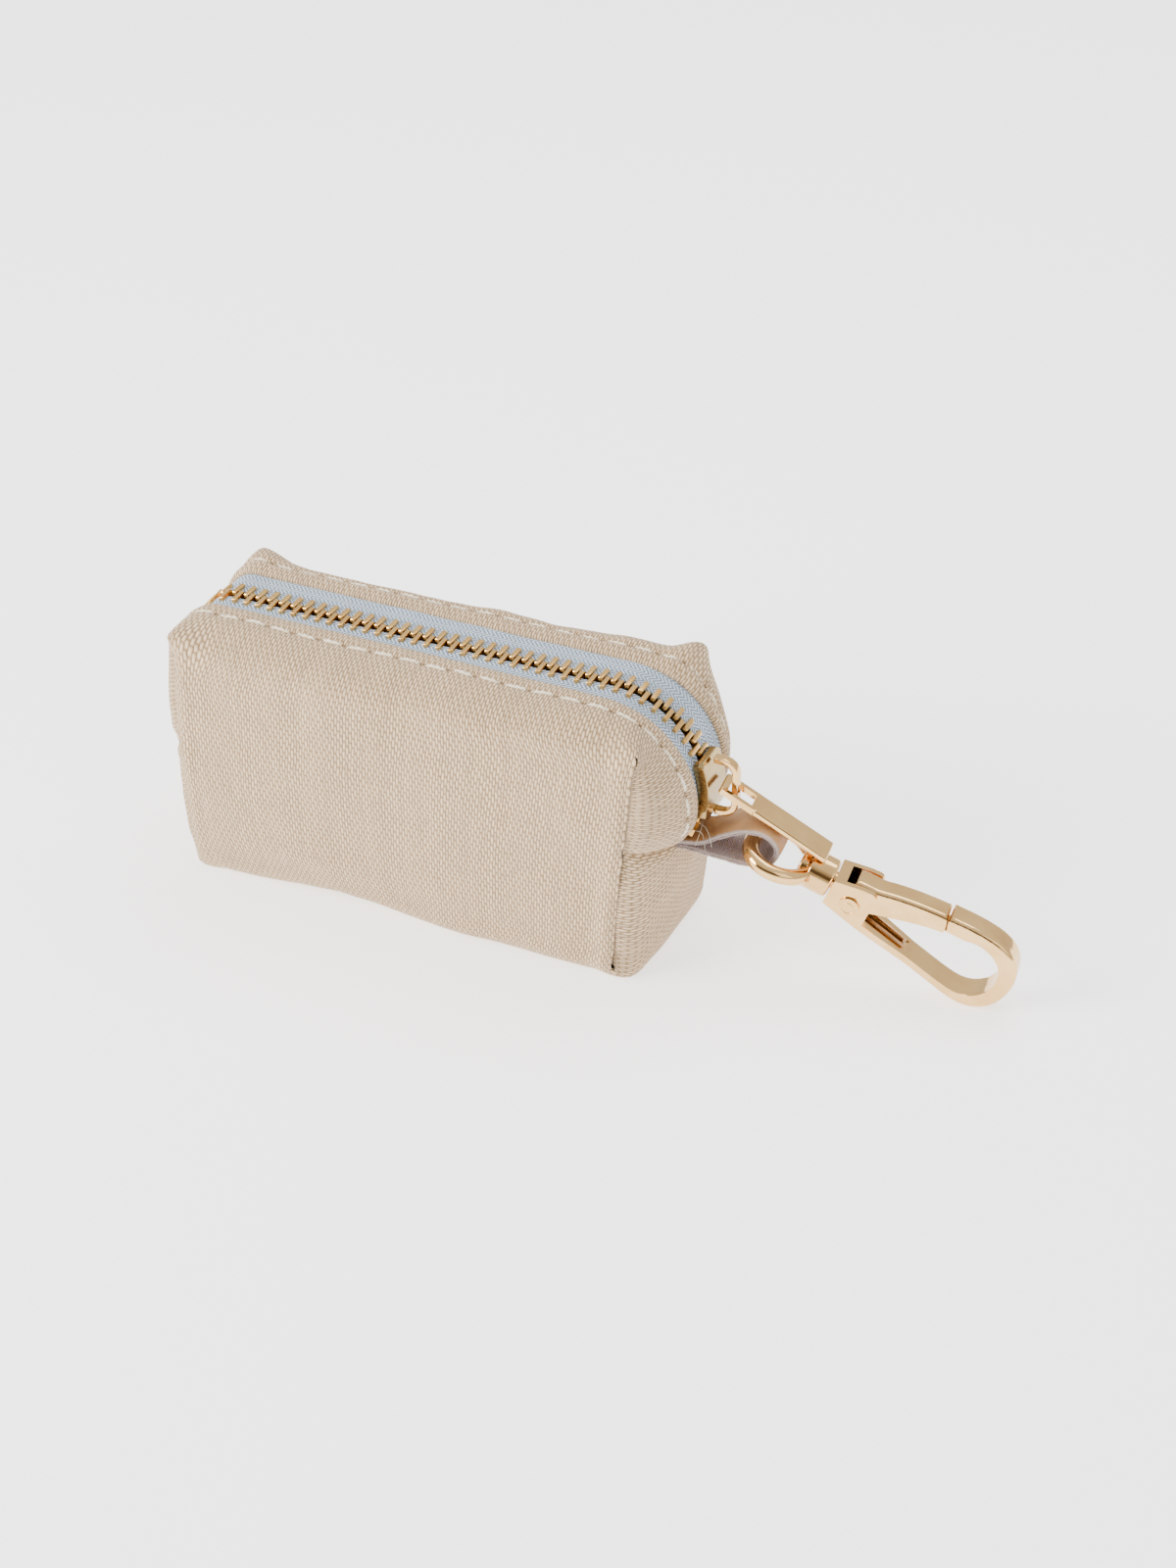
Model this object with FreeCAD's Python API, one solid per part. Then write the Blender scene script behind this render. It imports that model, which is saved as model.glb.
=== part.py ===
"""Small zip pouch with a leather loop, a swivel eye and a trigger snap hook.

Millimetres, +Z up. The origin is the centre of the pouch's base, the zipper runs along X,
the front is at -Y and the snap hook leaves the +X end.
"""

import math
import os

import FreeCAD
import Part

V = FreeCAD.Vector

# Pouch outline, seen from the front
TOP_Z = 51.5
ARC_X = 34.5
ARC_R = 18.25
ARC_Z = TOP_Z - ARC_R
SEAM_ANGLE = -27.0
LEFT_R = 7.0
LEFT_X = -39.5
LEFT_SEAM_Z = 26.0
BASE_RIGHT = 41.0
BASE_LEFT = -40.0

# Pouch depth and end bulge
HALF_DEPTH = 17.2
HALF_BASE = 11.0
END_FLAT = 7.6

# Cloth
CANVAS_T = 0.9
TAPE_T = 0.5
LINING_T = 0.4
TAPE_EDGE = 1.2
TAPE_HALF = 12.0
SLOT_FRONT = 5.6
SLOT_BACK = 8.4
LINING_BACK_OFF = 1.4
BINDING_HALF = 11.6

# Zipper chain
PITCH = 2.4
TOOTH_W = 0.9
TOOTH_REACH = 0.55
TOOTH_OUT = 2.9
TOOTH_H = 2.5
CHAIN_SPREAD = 1.35
SPREAD_FROM = 8.0
SPREAD_TO = -5.0
STOP_ANGLE = -20.8
CHAIN_FIRST = -15.0

# Stitches
STITCH_PITCH = 5.0
STITCH_LEN = 3.8
STITCH_R = 0.28
STITCH_OFF = 2.8

# Slider and pull tab
SLIDER_MID = 6.5
SLIDER_SPAN = 35.0
SLIDER_TOP_IN = ARC_R + 0.35
SLIDER_TOP_OUT = ARC_R + 1.4
SLIDER_LOW_IN = ARC_R - 2.7
SLIDER_LOW_OUT = ARC_R - 3.75
CROWN_HALF_Y = 0.85
CROWN_T = 1.15
PIVOT = V(55.65, 0, 35.6)
PULL_ANGLE = -28.8
PULL_T = 1.3
PULL_HALF = 2.65
PULL_LEN = 21.4
EYE_FROM = 0.65
EYE_TO = 5.6
EYE_HALF = 1.6

# Loop, ring and hook: one vertical plane through the pull tab's pivot
YAW = 5.5
HOOK_SLOPE = -21.5
COLLAR_OUT = 18.4
COLLAR_Z = 20.55
STRAP_HALF = 4.1
LEATHER_T = 0.6
BACKING_T = 0.35
RING_R = 1.45
RING_HALF = 6.5
RING_BACK = -14.0
BAR_STRAIGHT = 1.9
COLLAR_R = 3.6
COLLAR_FROM = -3.4
COLLAR_TO = 1.3
PIN_R = 1.6
PIN_CLEAR = 0.06
KNOB_R = 2.5
HEAD_HALF = 3.5
CHEEK_IN = 2.45
GATE_HALF = 2.33
BAR_HALF = 2.55
RIVET = (5.8, -1.0)
RIVET_R = 1.0
RIVET_HEAD_R = 1.85


def rot(shape, origin, axis, angle):
    out = shape.copy()
    out.rotate(origin, axis, angle)
    return out


def polygon(points):
    return Part.Face(Part.makePolygon([V(*p) for p in points] + [V(*points[0])]))


def polar(radius, degrees):
    a = math.radians(degrees)
    return (ARC_X + radius * math.cos(a), ARC_Z + radius * math.sin(a))


def xz(point, y=0.0):
    return V(point[0], y, point[1])


def line(a, b):
    return Part.LineSegment(a, b).toShape()


def arc(a, b, c):
    return Part.Arc(a, b, c).toShape()


def slab(edges, inset, start, span):
    """Face bounded by the edges, drawn in by inset, moved to start and extruded by span."""
    wire = Part.Wire(edges)
    if inset:
        wire = wire.makeOffset2D(-inset)
    face = Part.Face(wire)
    face.translate(start)
    return face.extrude(span)


def front_edges():
    """Outline in the XZ plane: zipper path on top, rounded base corners."""
    top_right = V(ARC_X, 0, TOP_Z)
    seam = xz(polar(ARC_R, SEAM_ANGLE))
    right_hip = V(46.3, 0, 6.5)
    left_top = V(LEFT_X, 0, TOP_Z)
    left_side = V(LEFT_X - LEFT_R, 0, TOP_Z - LEFT_R)
    left_bend = V(LEFT_X - LEFT_R * math.sqrt(0.5), 0, TOP_Z - LEFT_R * (1 - math.sqrt(0.5)))
    left_seam = V(LEFT_X - LEFT_R, 0, LEFT_SEAM_Z)
    left_tuck = V(-45.7, 0, LEFT_SEAM_Z - 1.0)
    right_tuck = V(49.7, 0, seam.z - 0.9)
    left_hip = V(-44.4, 0, 6.0)
    return [
        arc(top_right, xz(polar(ARC_R, 30)), seam),
        line(seam, right_tuck),
        line(right_tuck, right_hip),
        arc(right_hip, V(45.1, 0, 1.9), V(BASE_RIGHT, 0, 0)),
        line(V(BASE_RIGHT, 0, 0), V(BASE_LEFT, 0, 0)),
        arc(V(BASE_LEFT, 0, 0), V(-43.3, 0, 1.8), left_hip),
        line(left_hip, left_tuck),
        line(left_tuck, left_seam),
        line(left_seam, left_side),
        arc(left_side, left_bend, left_top),
        line(left_top, top_right),
    ]


def section_edges():
    """Outline in the YZ plane: crowned top, upright sides, softly rounded base edges."""
    crown_z = TOP_Z + 0.7
    edges = []
    for s in (1, -1):
        top = V(0, s * END_FLAT, crown_z)
        side = V(0, s * (HALF_DEPTH - 0.3), 41.0)
        low = V(0, s * HALF_DEPTH, 7.0)
        base = V(0, s * HALF_BASE, 0)
        run = [
            arc(top, V(0, s * 14.6, 48.7), side),
            line(side, low),
            arc(low, V(0, s * 15.4, 1.9), base),
        ]
        edges += run
    edges.append(line(V(0, END_FLAT, crown_z), V(0, -END_FLAT, crown_z)))
    edges.append(line(V(0, HALF_BASE, 0), V(0, -HALF_BASE, 0)))
    return Part.__sortEdges__(edges)


def plan_edges():
    """Outline in the XY plane: both ends bulge around the zipper."""
    right, left = 53.0, -46.8
    edges = [
        line(V(right, -END_FLAT, 0), V(right, END_FLAT, 0)),
        line(V(left, END_FLAT, 0), V(left, -END_FLAT, 0)),
    ]
    for s in (1, -1):
        edges += [
            arc(V(right, s * END_FLAT, 0), V(50.2, s * 12.6, 0), V(44.6, s * HALF_DEPTH, 0)),
            line(V(44.6, s * HALF_DEPTH, 0), V(-42.0, s * HALF_DEPTH, 0)),
            arc(V(-42.0, s * HALF_DEPTH, 0), V(-45.3, s * 12.8, 0), V(left, s * END_FLAT, 0)),
        ]
    return Part.__sortEdges__(edges)


def block(inset):
    """The filled pouch with its surface drawn in by inset."""
    front = slab(front_edges(), inset, V(0, -30, 0), V(0, 60, 0))
    section = slab(section_edges(), inset, V(-60, 0, 0), V(130, 0, 0))
    plan = slab(plan_edges(), inset, V(0, 0, -10), V(0, 0, 80))
    return front.common(section).common(plan)


def box(x0, x1, y0, y1, z0, z1):
    return Part.makeBox(x1 - x0, y1 - y0, z1 - z0, V(x0, y0, z0))


def zipper_slot(off):
    """Opening between the two folded edges, from one end seam over the top to the other.

    It is wider behind the chain than in front of it; off sets both edges further back.
    """
    y0, y1 = -SLOT_FRONT - off, SLOT_BACK + off
    right = box(0, 60, y0, y1, polar(ARC_R, SEAM_ANGLE)[1] + 0.4, 60)
    left = box(-60, 0, y0, y1, LEFT_SEAM_Z + 0.4, 60)
    return right.fuse(left)


# Loop, ring and hook directions
YAW_RAD = math.radians(YAW)
SLOPE_RAD = math.radians(HOOK_SLOPE)
OUT = V(math.cos(YAW_RAD), math.sin(YAW_RAD), 0)
SIDE = V(-math.sin(YAW_RAD), math.cos(YAW_RAD), 0)
ALONG = OUT * math.cos(SLOPE_RAD) + V(0, 0, math.sin(SLOPE_RAD))
LIFT = V(0, 0, math.cos(SLOPE_RAD)) - OUT * math.sin(SLOPE_RAD)
COLLAR = V(PIVOT.x, PIVOT.y, COLLAR_Z) + OUT * COLLAR_OUT


def hook_at(along, lift, side=0.0):
    """Point in the hook's own axes, measured from the collar."""
    return COLLAR + ALONG * along + LIFT * lift + SIDE * side


def hook_prism(points, half, middle=0.0):
    """Prism over (along, lift) points, half thick to each side of middle."""
    face = Part.Face(Part.makePolygon([hook_at(a, b, middle - half) for a, b in points + points[:1]]))
    return face.extrude(SIDE * (2 * half))


def rod(a, b, radius):
    return Part.makeCylinder(radius, (b - a).Length, a, b - a)


def pipe(points, radius):
    """Round wire through straight runs with a ball at every bend."""
    parts = [rod(a, b, radius) for a, b in zip(points, points[1:])]
    balls = [Part.makeSphere(radius, p) for p in points[1:-1]]
    return parts[0].multiFuse(parts[1:] + balls).removeSplitter()


def strap_curve(offset):
    """Side view of the loop from the end seam and back to it, drawn in by offset."""
    path = [
        (46.8, 25.3), (50.0, 25.3), (52.3, 25.75), (55.8, 27.9), (60.0, 29.8), (63.3, 30.0),
        (65.8, 28.6), (66.8, 26.2), (65.9, 23.8), (63.3, 22.3), (60.0, 22.0),
        (55.5, 22.5), (51.0, 23.1), (46.8, 23.2),
    ]
    curve = Part.BSplineCurve()
    curve.interpolate([V(PIVOT.x, PIVOT.y, z) + OUT * (x - PIVOT.x) for x, z in path])
    if not offset:
        return curve
    steps = 48
    points = []
    for i in range(steps + 1):
        u = curve.FirstParameter + (curve.LastParameter - curve.FirstParameter) * i / steps
        inward = SIDE.cross(curve.tangent(u)[0])
        points.append(curve.value(u) + inward * offset)
    inner = Part.BSplineCurve()
    inner.interpolate(points)
    return inner


def strap_face(outer, inner):
    """Side face of one ply between two offsets of the loop."""
    a, b = strap_curve(outer), strap_curve(inner)
    edges = [
        a.toShape(),
        line(a.value(a.LastParameter), b.value(b.LastParameter)),
        b.toShape(),
        line(b.value(b.FirstParameter), a.value(a.FirstParameter)),
    ]
    return Part.Face(Part.Wire(Part.__sortEdges__(edges)))


def strap_layer(outer, inner):
    """One ply of the loop, running from inside the end seam out and back."""
    ply = strap_face(outer, inner)
    ply.translate(SIDE * -STRAP_HALF)
    return ply.extrude(SIDE * (2 * STRAP_HALF))


def strap_passage():
    """Room the two ends of the loop take up in the end seam."""
    curve = strap_curve(0.0)
    edges = [curve.toShape(), line(curve.value(curve.LastParameter), curve.value(curve.FirstParameter))]
    face = Part.Face(Part.Wire(edges))
    face.translate(SIDE * (-STRAP_HALF - 0.1))
    return face.extrude(SIDE * (2 * STRAP_HALF + 0.2))


def chain_frames():
    """(position, tangent angle) every half pitch, from the right stop over the top to the left seam."""
    mid = CANVAS_T + TAPE_T / 2
    right_r = ARC_R - mid
    left_r = LEFT_R - mid
    right_len = right_r * math.radians(90 - CHAIN_FIRST)
    top_len = ARC_X - LEFT_X
    left_len = left_r * math.pi / 2
    drop = TOP_Z - LEFT_R - LEFT_SEAM_Z - 4.5
    total = right_len + top_len + left_len + drop
    frames = []
    for i in range(int(total / (PITCH / 2))):
        s = i * PITCH / 2
        if s < right_len:
            angle = CHAIN_FIRST + math.degrees(s / right_r)
            x, z = polar(right_r, angle)
        elif s < right_len + top_len:
            angle = 90.0
            x, z = ARC_X - (s - right_len), TOP_Z - mid
        elif s < right_len + top_len + left_len:
            angle = 90.0 + math.degrees((s - right_len - top_len) / left_r)
            a = math.radians(angle)
            x, z = LEFT_X + left_r * math.cos(a), TOP_Z - LEFT_R + left_r * math.sin(a)
        else:
            angle = 180.0
            x = LEFT_X - left_r
            z = TOP_Z - LEFT_R - (s - right_len - top_len - left_len)
        frames.append((V(x, 0, z), angle))
    return frames


def spread(angle):
    """How far each half of the chain stands off the centre line at this angle."""
    if angle >= SPREAD_FROM:
        return 0.0
    t = min(1.0, (SPREAD_FROM - angle) / (SPREAD_FROM - SPREAD_TO))
    return CHAIN_SPREAD * t * t * (3 - 2 * t)


def clamp(side, reach, width, height):
    """C-shaped tooth or stop around the tape's edge; X is outward, Y across, Z along the chain."""
    gap = TAPE_T / 2 + 0.04
    h = height / 2
    pts = [
        (-h, -reach), (h, -reach), (h, TOOTH_OUT), (gap, TOOTH_OUT),
        (gap, TAPE_EDGE - 0.04), (-gap, TAPE_EDGE - 0.04), (-gap, TOOTH_OUT), (-h, TOOTH_OUT),
    ]
    face = polygon([(x, side * y, -width / 2) for x, y in pts])
    return face.extrude(V(0, 0, width))


def on_chain(shape, position, angle, shift):
    out = shape.copy()
    out.rotate(V(0, 0, 0), V(0, -1, 0), angle)
    out.translate(position + V(0, shift, 0))
    return out


def teeth(side):
    tooth = clamp(side, TOOTH_REACH, TOOTH_W, TOOTH_H)
    frames = chain_frames()[(0 if side > 0 else 1)::2]
    return Part.makeCompound([on_chain(tooth, p, a, side * spread(a)) for p, a in frames])


def top_stops():
    mid = ARC_R - CANVAS_T - TAPE_T / 2
    p = xz(polar(mid, STOP_ANGLE))
    return Part.makeCompound(
        [on_chain(clamp(s, 0.0, 1.7, 2.3), p, STOP_ANGLE, s * CHAIN_SPREAD) for s in (1, -1)]
    )


def bottom_stop():
    """One staple across both tapes at the far end of the chain."""
    x = LEFT_X - LEFT_R + CANVAS_T + TAPE_T / 2
    z = LEFT_SEAM_Z + 2.6
    gap = TAPE_T / 2 + 0.03
    outer = box(x - 1.15, x + 1.15, -2.9, 2.9, z - 1.1, z + 1.1)
    for s in (1, -1):
        y0, y1 = sorted((s * (TAPE_EDGE - 0.03), s * 3.0))
        outer = outer.cut(box(x - gap, x + gap, y0, y1, z - 2, z + 2))
    return outer


def tape(side, shell):
    y0, y1 = sorted((side * TAPE_EDGE, side * TAPE_HALF))
    keep = box(0, 60, y0, y1, polar(ARC_R, SEAM_ANGLE)[1] + 0.5, 60)
    keep = keep.fuse(box(-60, 0, y0, y1, LEFT_SEAM_Z + 0.5, 60))
    edge = [(20.0, TAPE_EDGE + CHAIN_SPREAD)]
    half_tooth = math.degrees(TOOTH_W / 2 / 16.9)
    for i in range(11):
        angle = SPREAD_TO + (SPREAD_FROM - SPREAD_TO) * i / 10
        edge.append((ARC_Z + 16.9 * math.sin(math.radians(angle + half_tooth)), TAPE_EDGE + spread(angle)))
    outline = [(45, y, z) for z, y in edge] + [(45, -y, z) for z, y in reversed(edge)]
    mouth = polygon(outline).extrude(V(12, 0, 0))
    return shell.common(keep).cut(mouth)


def stitch_row(side, body):
    """Topstitches lying on the canvas, parallel to the folded edge."""
    radius = ARC_R + 6
    y = side * ((SLOT_BACK if side > 0 else SLOT_FRONT) + STITCH_OFF)
    paths = []
    x = LEFT_X
    while x < ARC_X:
        paths.append((V(x, y, TOP_Z + 8), V(0, 0, -1)))
        x += STITCH_PITCH
    step = math.degrees(STITCH_PITCH / ARC_R)
    angle = 90.0 - (x - ARC_X) / ARC_R * 57.3
    while angle > SEAM_ANGLE + 10:
        px, pz = polar(radius, angle)
        a = math.radians(angle)
        paths.append((V(px, y, pz), V(-math.cos(a), 0, -math.sin(a))))
        angle -= step
    stitches = []
    for start, aim in paths:
        along = aim.cross(V(0, 1, 0))
        hits = []
        for k in (-1, 0, 1):
            p = start + along * (k * STITCH_LEN / 2)
            inside = Part.makeLine(p, p + aim * 16).common(body)
            hits.append(min(inside.Vertexes, key=lambda v: (v.Point - p).Length).Point)
        crown = max(0.0, ((hits[0] + hits[2]) * 0.5 - hits[1]).dot(aim))
        lift = V(0, side * 0.12, 0) - aim * (STITCH_R + 0.16 + crown)
        ends = [hits[0] + lift, hits[2] + lift]
        stitches.append(rod(ends[0], ends[1], STITCH_R))
    return Part.makeCompound(stitches)


def annulus(inner, outer):
    ring = Part.makeCylinder(outer, 40, V(ARC_X, -20, ARC_Z), V(0, 1, 0))
    return ring.cut(Part.makeCylinder(inner, 40, V(ARC_X, -20, ARC_Z), V(0, 1, 0)))


def slider_prism(outline):
    """Prism standing on the chain at the slider's middle; points are (degrees from the middle, y)."""
    scale = math.radians(1.0) * ARC_R
    face = polygon([(0, y, a * scale) for a, y in outline])
    solid = face.extrude(V(16, 0, 0))
    solid.translate(V(ARC_X + 11, 0, ARC_Z))
    return rot(solid, V(ARC_X, 0, ARC_Z), V(0, -1, 0), SLIDER_MID)


def mirrored(points):
    return points + [(a, -y) for a, y in reversed(points)]


def slider_body():
    """Two plates joined by a wedge at the mouth, with side walls that leave room for the tapes."""
    half = SLIDER_SPAN / 2
    plate = mirrored([
        (half, 2.6), (half - 2, 3.75), (-2, 3.95), (-9, 5.1), (-half + 4, 5.1), (-half, 3.4),
    ])
    plates = [
        slider_prism(plate).common(annulus(SLIDER_TOP_IN, SLIDER_TOP_OUT)),
        slider_prism(plate).common(annulus(SLIDER_LOW_OUT, SLIDER_LOW_IN)),
    ]
    walls = []
    for s in (1, -1):
        wall = slider_prism([
            (half - 2, s * 3.75), (-2, s * 3.95), (-9, s * 5.1), (-half + 4, s * 5.1),
            (-half + 4, s * 4.5), (-8, s * 4.5), (-1, s * 3.2), (half - 2, s * 3.1),
        ])
        walls.append(wall.common(annulus(ARC_R - CANVAS_T + 0.3, SLIDER_TOP_IN + 0.1)))
        walls.append(wall.common(annulus(SLIDER_LOW_IN - 0.1, ARC_R - CANVAS_T - TAPE_T - 0.3)))
    wedge = slider_prism(mirrored([(-7, 0.15), (-13, 0.7), (-half + 0.6, 0.6)]))
    wedge = wedge.common(annulus(SLIDER_LOW_IN - 0.1, SLIDER_TOP_IN + 0.1))
    return plates[0].multiFuse([plates[1], wedge] + walls).removeSplitter()


def slider_crown():
    """Bridge over the top plate; its upper end stands just off the plate."""
    x1, z0, z1 = 58.1, 29.4, 41.0
    outer = box(48, x1, -CROWN_HALF_Y, CROWN_HALF_Y, z0, z1)
    inner = box(47, x1 - CROWN_T, -2, 2, z0 + CROWN_T, z1 - CROWN_T)
    outer = outer.makeFillet(2.9, [e for e in outer.Edges if is_far_y_edge(e, x1)])
    inner = inner.makeFillet(1.8, [e for e in inner.Edges if is_far_y_edge(e, x1 - CROWN_T)])
    plate = Part.makeCylinder(SLIDER_TOP_OUT, 10, V(ARC_X, -5, ARC_Z), V(0, 1, 0))
    return outer.cut(inner).cut(plate).cut(box(48, 53.5, -2, 2, 38, 42))


def is_far_y_edge(edge, x):
    a, b = edge.Vertexes[0].Point, edge.Vertexes[-1].Point
    return abs(a.x - x) < 1e-6 and abs(b.x - x) < 1e-6 and abs(a.z - b.z) < 1e-6


def pull_tab():
    """Flat tab with a rectangular eye; drawn along X, then turned to rest on the ring's collar."""
    half_t = PULL_T / 2
    blade = box(EYE_TO + 0.6, PULL_LEN, -PULL_HALF, PULL_HALF, -half_t, half_t)
    blade = blade.makeFillet(0.45, blade.Edges)
    eye = box(-EYE_FROM, EYE_TO + 1.4, -PULL_HALF + 0.15, PULL_HALF - 0.15, -half_t + 0.1, half_t - 0.1)
    eye = eye.makeFillet(0.4, [e for e in eye.Edges if abs(e.BoundBox.XLength) < 1e-6])
    body = blade.fuse(eye)
    body = body.cut(box(EYE_FROM, EYE_TO, -EYE_HALF, EYE_HALF, -2, 2))
    body.rotate(V(0, 0, 0), V(0, 1, 0), -PULL_ANGLE)
    body.rotate(V(0, 0, 0), V(0, 0, 1), YAW)
    body.translate(PIVOT)
    return body


def bend(start, direction, centre, angle):
    """Round wire turned about a centre in the ring's plane."""
    section = Part.Face(Part.Wire(Part.makeCircle(RING_R, start, direction).Edges))
    return section.revolve(centre, LIFT, angle)


def swivel_ring():
    """Oval eye of round wire that runs into a bored collar."""
    middle = RING_BACK + RING_HALF - BAR_STRAIGHT
    front_r = COLLAR_FROM + 0.6 - middle
    parts = [rod(hook_at(RING_BACK, 0, -BAR_STRAIGHT), hook_at(RING_BACK, 0, BAR_STRAIGHT), RING_R)]
    for s in (1, -1):
        corner = hook_at(RING_BACK, 0, s * BAR_STRAIGHT)
        flank = hook_at(middle, 0, s * RING_HALF)
        parts.append(bend(corner, SIDE, hook_at(middle, 0, s * BAR_STRAIGHT), -90 * s))
        parts.append(bend(flank, ALONG, hook_at(middle, 0, s * (RING_HALF - front_r)), -84 * s))
    collar = rod(hook_at(COLLAR_FROM, 0), hook_at(COLLAR_TO, 0), COLLAR_R)
    collar = collar.makeFillet(0.5, round_edges(collar))
    bore = rod(hook_at(-8, 0), hook_at(4, 0), PIN_R + PIN_CLEAR)
    recess = rod(hook_at(COLLAR_FROM - 2.2, 0), hook_at(COLLAR_FROM, 0), KNOB_R + 0.15)
    return parts[0].multiFuse(parts[1:] + [collar]).cut(bore).cut(recess)


def round_edges(shape):
    return [e for e in shape.Edges if isinstance(e.Curve, Part.Circle)]


def swivel_pin():
    """Headed pin through the collar, riveted into the hook's head."""
    knob = rod(hook_at(COLLAR_FROM - 1.7, 0), hook_at(COLLAR_FROM - 0.08, 0), KNOB_R)
    knob = knob.makeFillet(0.35, round_edges(knob))
    return knob.fuse(rod(hook_at(COLLAR_FROM - 0.6, 0), hook_at(3.1, 0), PIN_R))


def hook_outline(runs):
    """Face from runs of (along, lift) points: two points make a line, more make a smooth curve."""
    edges = []
    for run in runs:
        points = [hook_at(a, b) for a, b in run]
        if len(points) == 2:
            edges.append(line(*points))
        else:
            curve = Part.BSplineCurve()
            curve.interpolate(points)
            edges.append(curve.toShape())
    return Part.Face(Part.Wire(edges))


def soften(body, run, radius):
    """Round the two long edges that follow a run of (along, lift) points."""
    curve = Part.BSplineCurve()
    curve.interpolate([hook_at(a, b) for a, b in run])
    picked = []
    for edge in body.Edges:
        middle = sum(edge.ParameterRange) / 2
        points = [edge.valueAt(u) for u in (edge.FirstParameter, middle, edge.LastParameter)]
        flat = [p - SIDE * (p - COLLAR).dot(SIDE) for p in points]
        near = all((curve.value(curve.parameter(p)) - p).Length < 0.05 for p in flat)
        if near and edge.Length > 2.0:
            picked.append(edge)
    return body.makeFillet(radius, picked)


def hook_body():
    """Clevis head, channelled lower bar, end bend and nose."""
    back = [
        (1.5, -3.3), (6.0, -4.45), (11.0, -5.6), (18.3, -7.25), (24.5, -8.65), (28.0, -9.4),
        (30.7, -9.55), (33.4, -8.75), (35.6, -6.9), (36.9, -4.0), (37.2, -0.8), (36.4, 2.4), (34.6, 4.6),
        (32.0, 5.9), (29.0, 6.4), (25.5, 6.45), (21.55, 6.2),
    ]
    inside = [
        (26.2, 3.5), (27.3, 3.85), (29.2, 3.85), (31.6, 3.0), (33.3, 1.5), (34.15, -0.6), (34.1, -3.2),
        (33.1, -5.3), (31.4, -6.8), (29.4, -7.4), (27.2, -7.3), (23.5, -6.6), (17.3, -5.2), (11.0, -3.8),
        (9.4, -3.4),
    ]
    runs = [
        [(1.6, 2.4), back[0]], back, [back[-1], (22.0, 4.85), (22.35, 3.55)], [(22.35, 3.55), inside[0]],
        inside, [inside[-1], (9.4, 2.5)], [(9.4, 2.5), (9.1, 3.3), (8.3, 3.65)],
        [(8.3, 3.65), (6.6, 3.5)], [(6.6, 3.5), (1.6, 2.4)],
    ]
    face = hook_outline(runs)
    face.translate(SIDE * -HEAD_HALF)
    plan = [
        (0.0, HEAD_HALF), (9.4, HEAD_HALF), (19.0, BAR_HALF), (40.0, BAR_HALF),
        (40.0, -BAR_HALF), (19.0, -BAR_HALF), (9.4, -HEAD_HALF), (0.0, -HEAD_HALF),
    ]
    top = Part.Face(Part.makePolygon([hook_at(a, -14, n) for a, n in plan + plan[:1]]))
    body = face.extrude(SIDE * (2 * HEAD_HALF)).common(top.extrude(LIFT * 24))
    body = soften(body, back, 0.9)
    clevis = hook_prism([(3.5, 6), (3.5, -2.9), (4.4, -3.3), (9.8, -3.3), (9.8, 6)], CHEEK_IN)
    channel = hook_prism([(4.4, -3.2), (8.0, -3.9), (17.2, -6.0), (18.6, -5.5), (18.6, -4.0), (8, -2)], 1.55)
    body = body.cut(clevis).cut(channel)
    body = body.cut(rod(hook_at(*RIVET, -6), hook_at(*RIVET, 6), RIVET_R + 0.02))
    return body.cut(rod(hook_at(0, 0), hook_at(3.2, 0), PIN_R))


def gate():
    """Sprung gate with a barrel on the rivet and a tongue under the nose."""
    top = [(5.2, 3.55), (7.2, 3.75), (9.2, 3.85), (11.2, 4.35), (14.0, 5.0), (17.0, 5.5), (21.25, 5.95)]
    low = [(21.7, 2.6), (18.6, 1.95), (15.6, 1.0), (12.2, -0.2), (9.6, -1.2), (8.0, -2.1)]
    heel = [(8.0, -2.1), (6.4, -2.85), (4.7, -2.4), (4.1, -1.0), (4.2, 1.2)]
    face = hook_outline([
        top, [top[-1], (21.75, 4.75), (22.05, 3.4)], [(22.05, 3.4), (26.0, 3.35)],
        [(26.0, 3.35), (25.8, 2.75)], [(25.8, 2.75), low[0]], low, heel, [heel[-1], top[0]],
    ])
    face.translate(SIDE * -GATE_HALF)
    body = soften(face.extrude(SIDE * (2 * GATE_HALF)), top, 0.9)
    for s in (-1, 1):
        body = body.cut(hook_prism([(22.05, 0), (28, 0), (28, 3.38), (22.05, 3.38)], 0.5, s * 2.1))
    return body.cut(rod(hook_at(*RIVET, -6), hook_at(*RIVET, 6), RIVET_R + 0.04))


def gate_rivet():
    """Rivet through both cheeks, with a shallow round head on each side."""
    ends = [hook_at(*RIVET, s * (HEAD_HALF + 0.03)) for s in (-1, 1)]
    shank = rod(hook_at(*RIVET, -HEAD_HALF - 0.1), hook_at(*RIVET, HEAD_HALF + 0.1), RIVET_R)
    heads = []
    for point, s in zip(ends, (-1, 1)):
        head = rod(point, point + SIDE * (s * 0.35), RIVET_HEAD_R)
        groove = rod(point + SIDE * (s * 0.22), point + SIDE * (s * 0.5), 1.25)
        core = rod(point, point + SIDE * (s * 0.35), 0.85)
        heads.append(head.cut(groove).fuse(core))
    return shank.multiFuse(heads)


def gate_spring():
    """Hairpin of spring wire lying in the lower bar's channel, its legs under the gate's heel."""
    legs = []
    for n in (-0.95, 0.95):
        legs.append(hook_at(8.3, -2.9, n))
        legs.append(hook_at(17.5, -4.95, n))
    path = [legs[0], legs[1], legs[3], legs[2]]
    return pipe(path, 0.3)


def end_binding(x0, x1, z):
    """Bound seam allowance that runs across the inside of an end seam."""
    body = box(x0, x1, -BINDING_HALF, BINDING_HALF, z - 1.9, z + 1.9)
    return body.makeFillet(0.6, [e for e in body.Edges if abs(e.BoundBox.YLength - 2 * BINDING_HALF) < 0.1])


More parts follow.
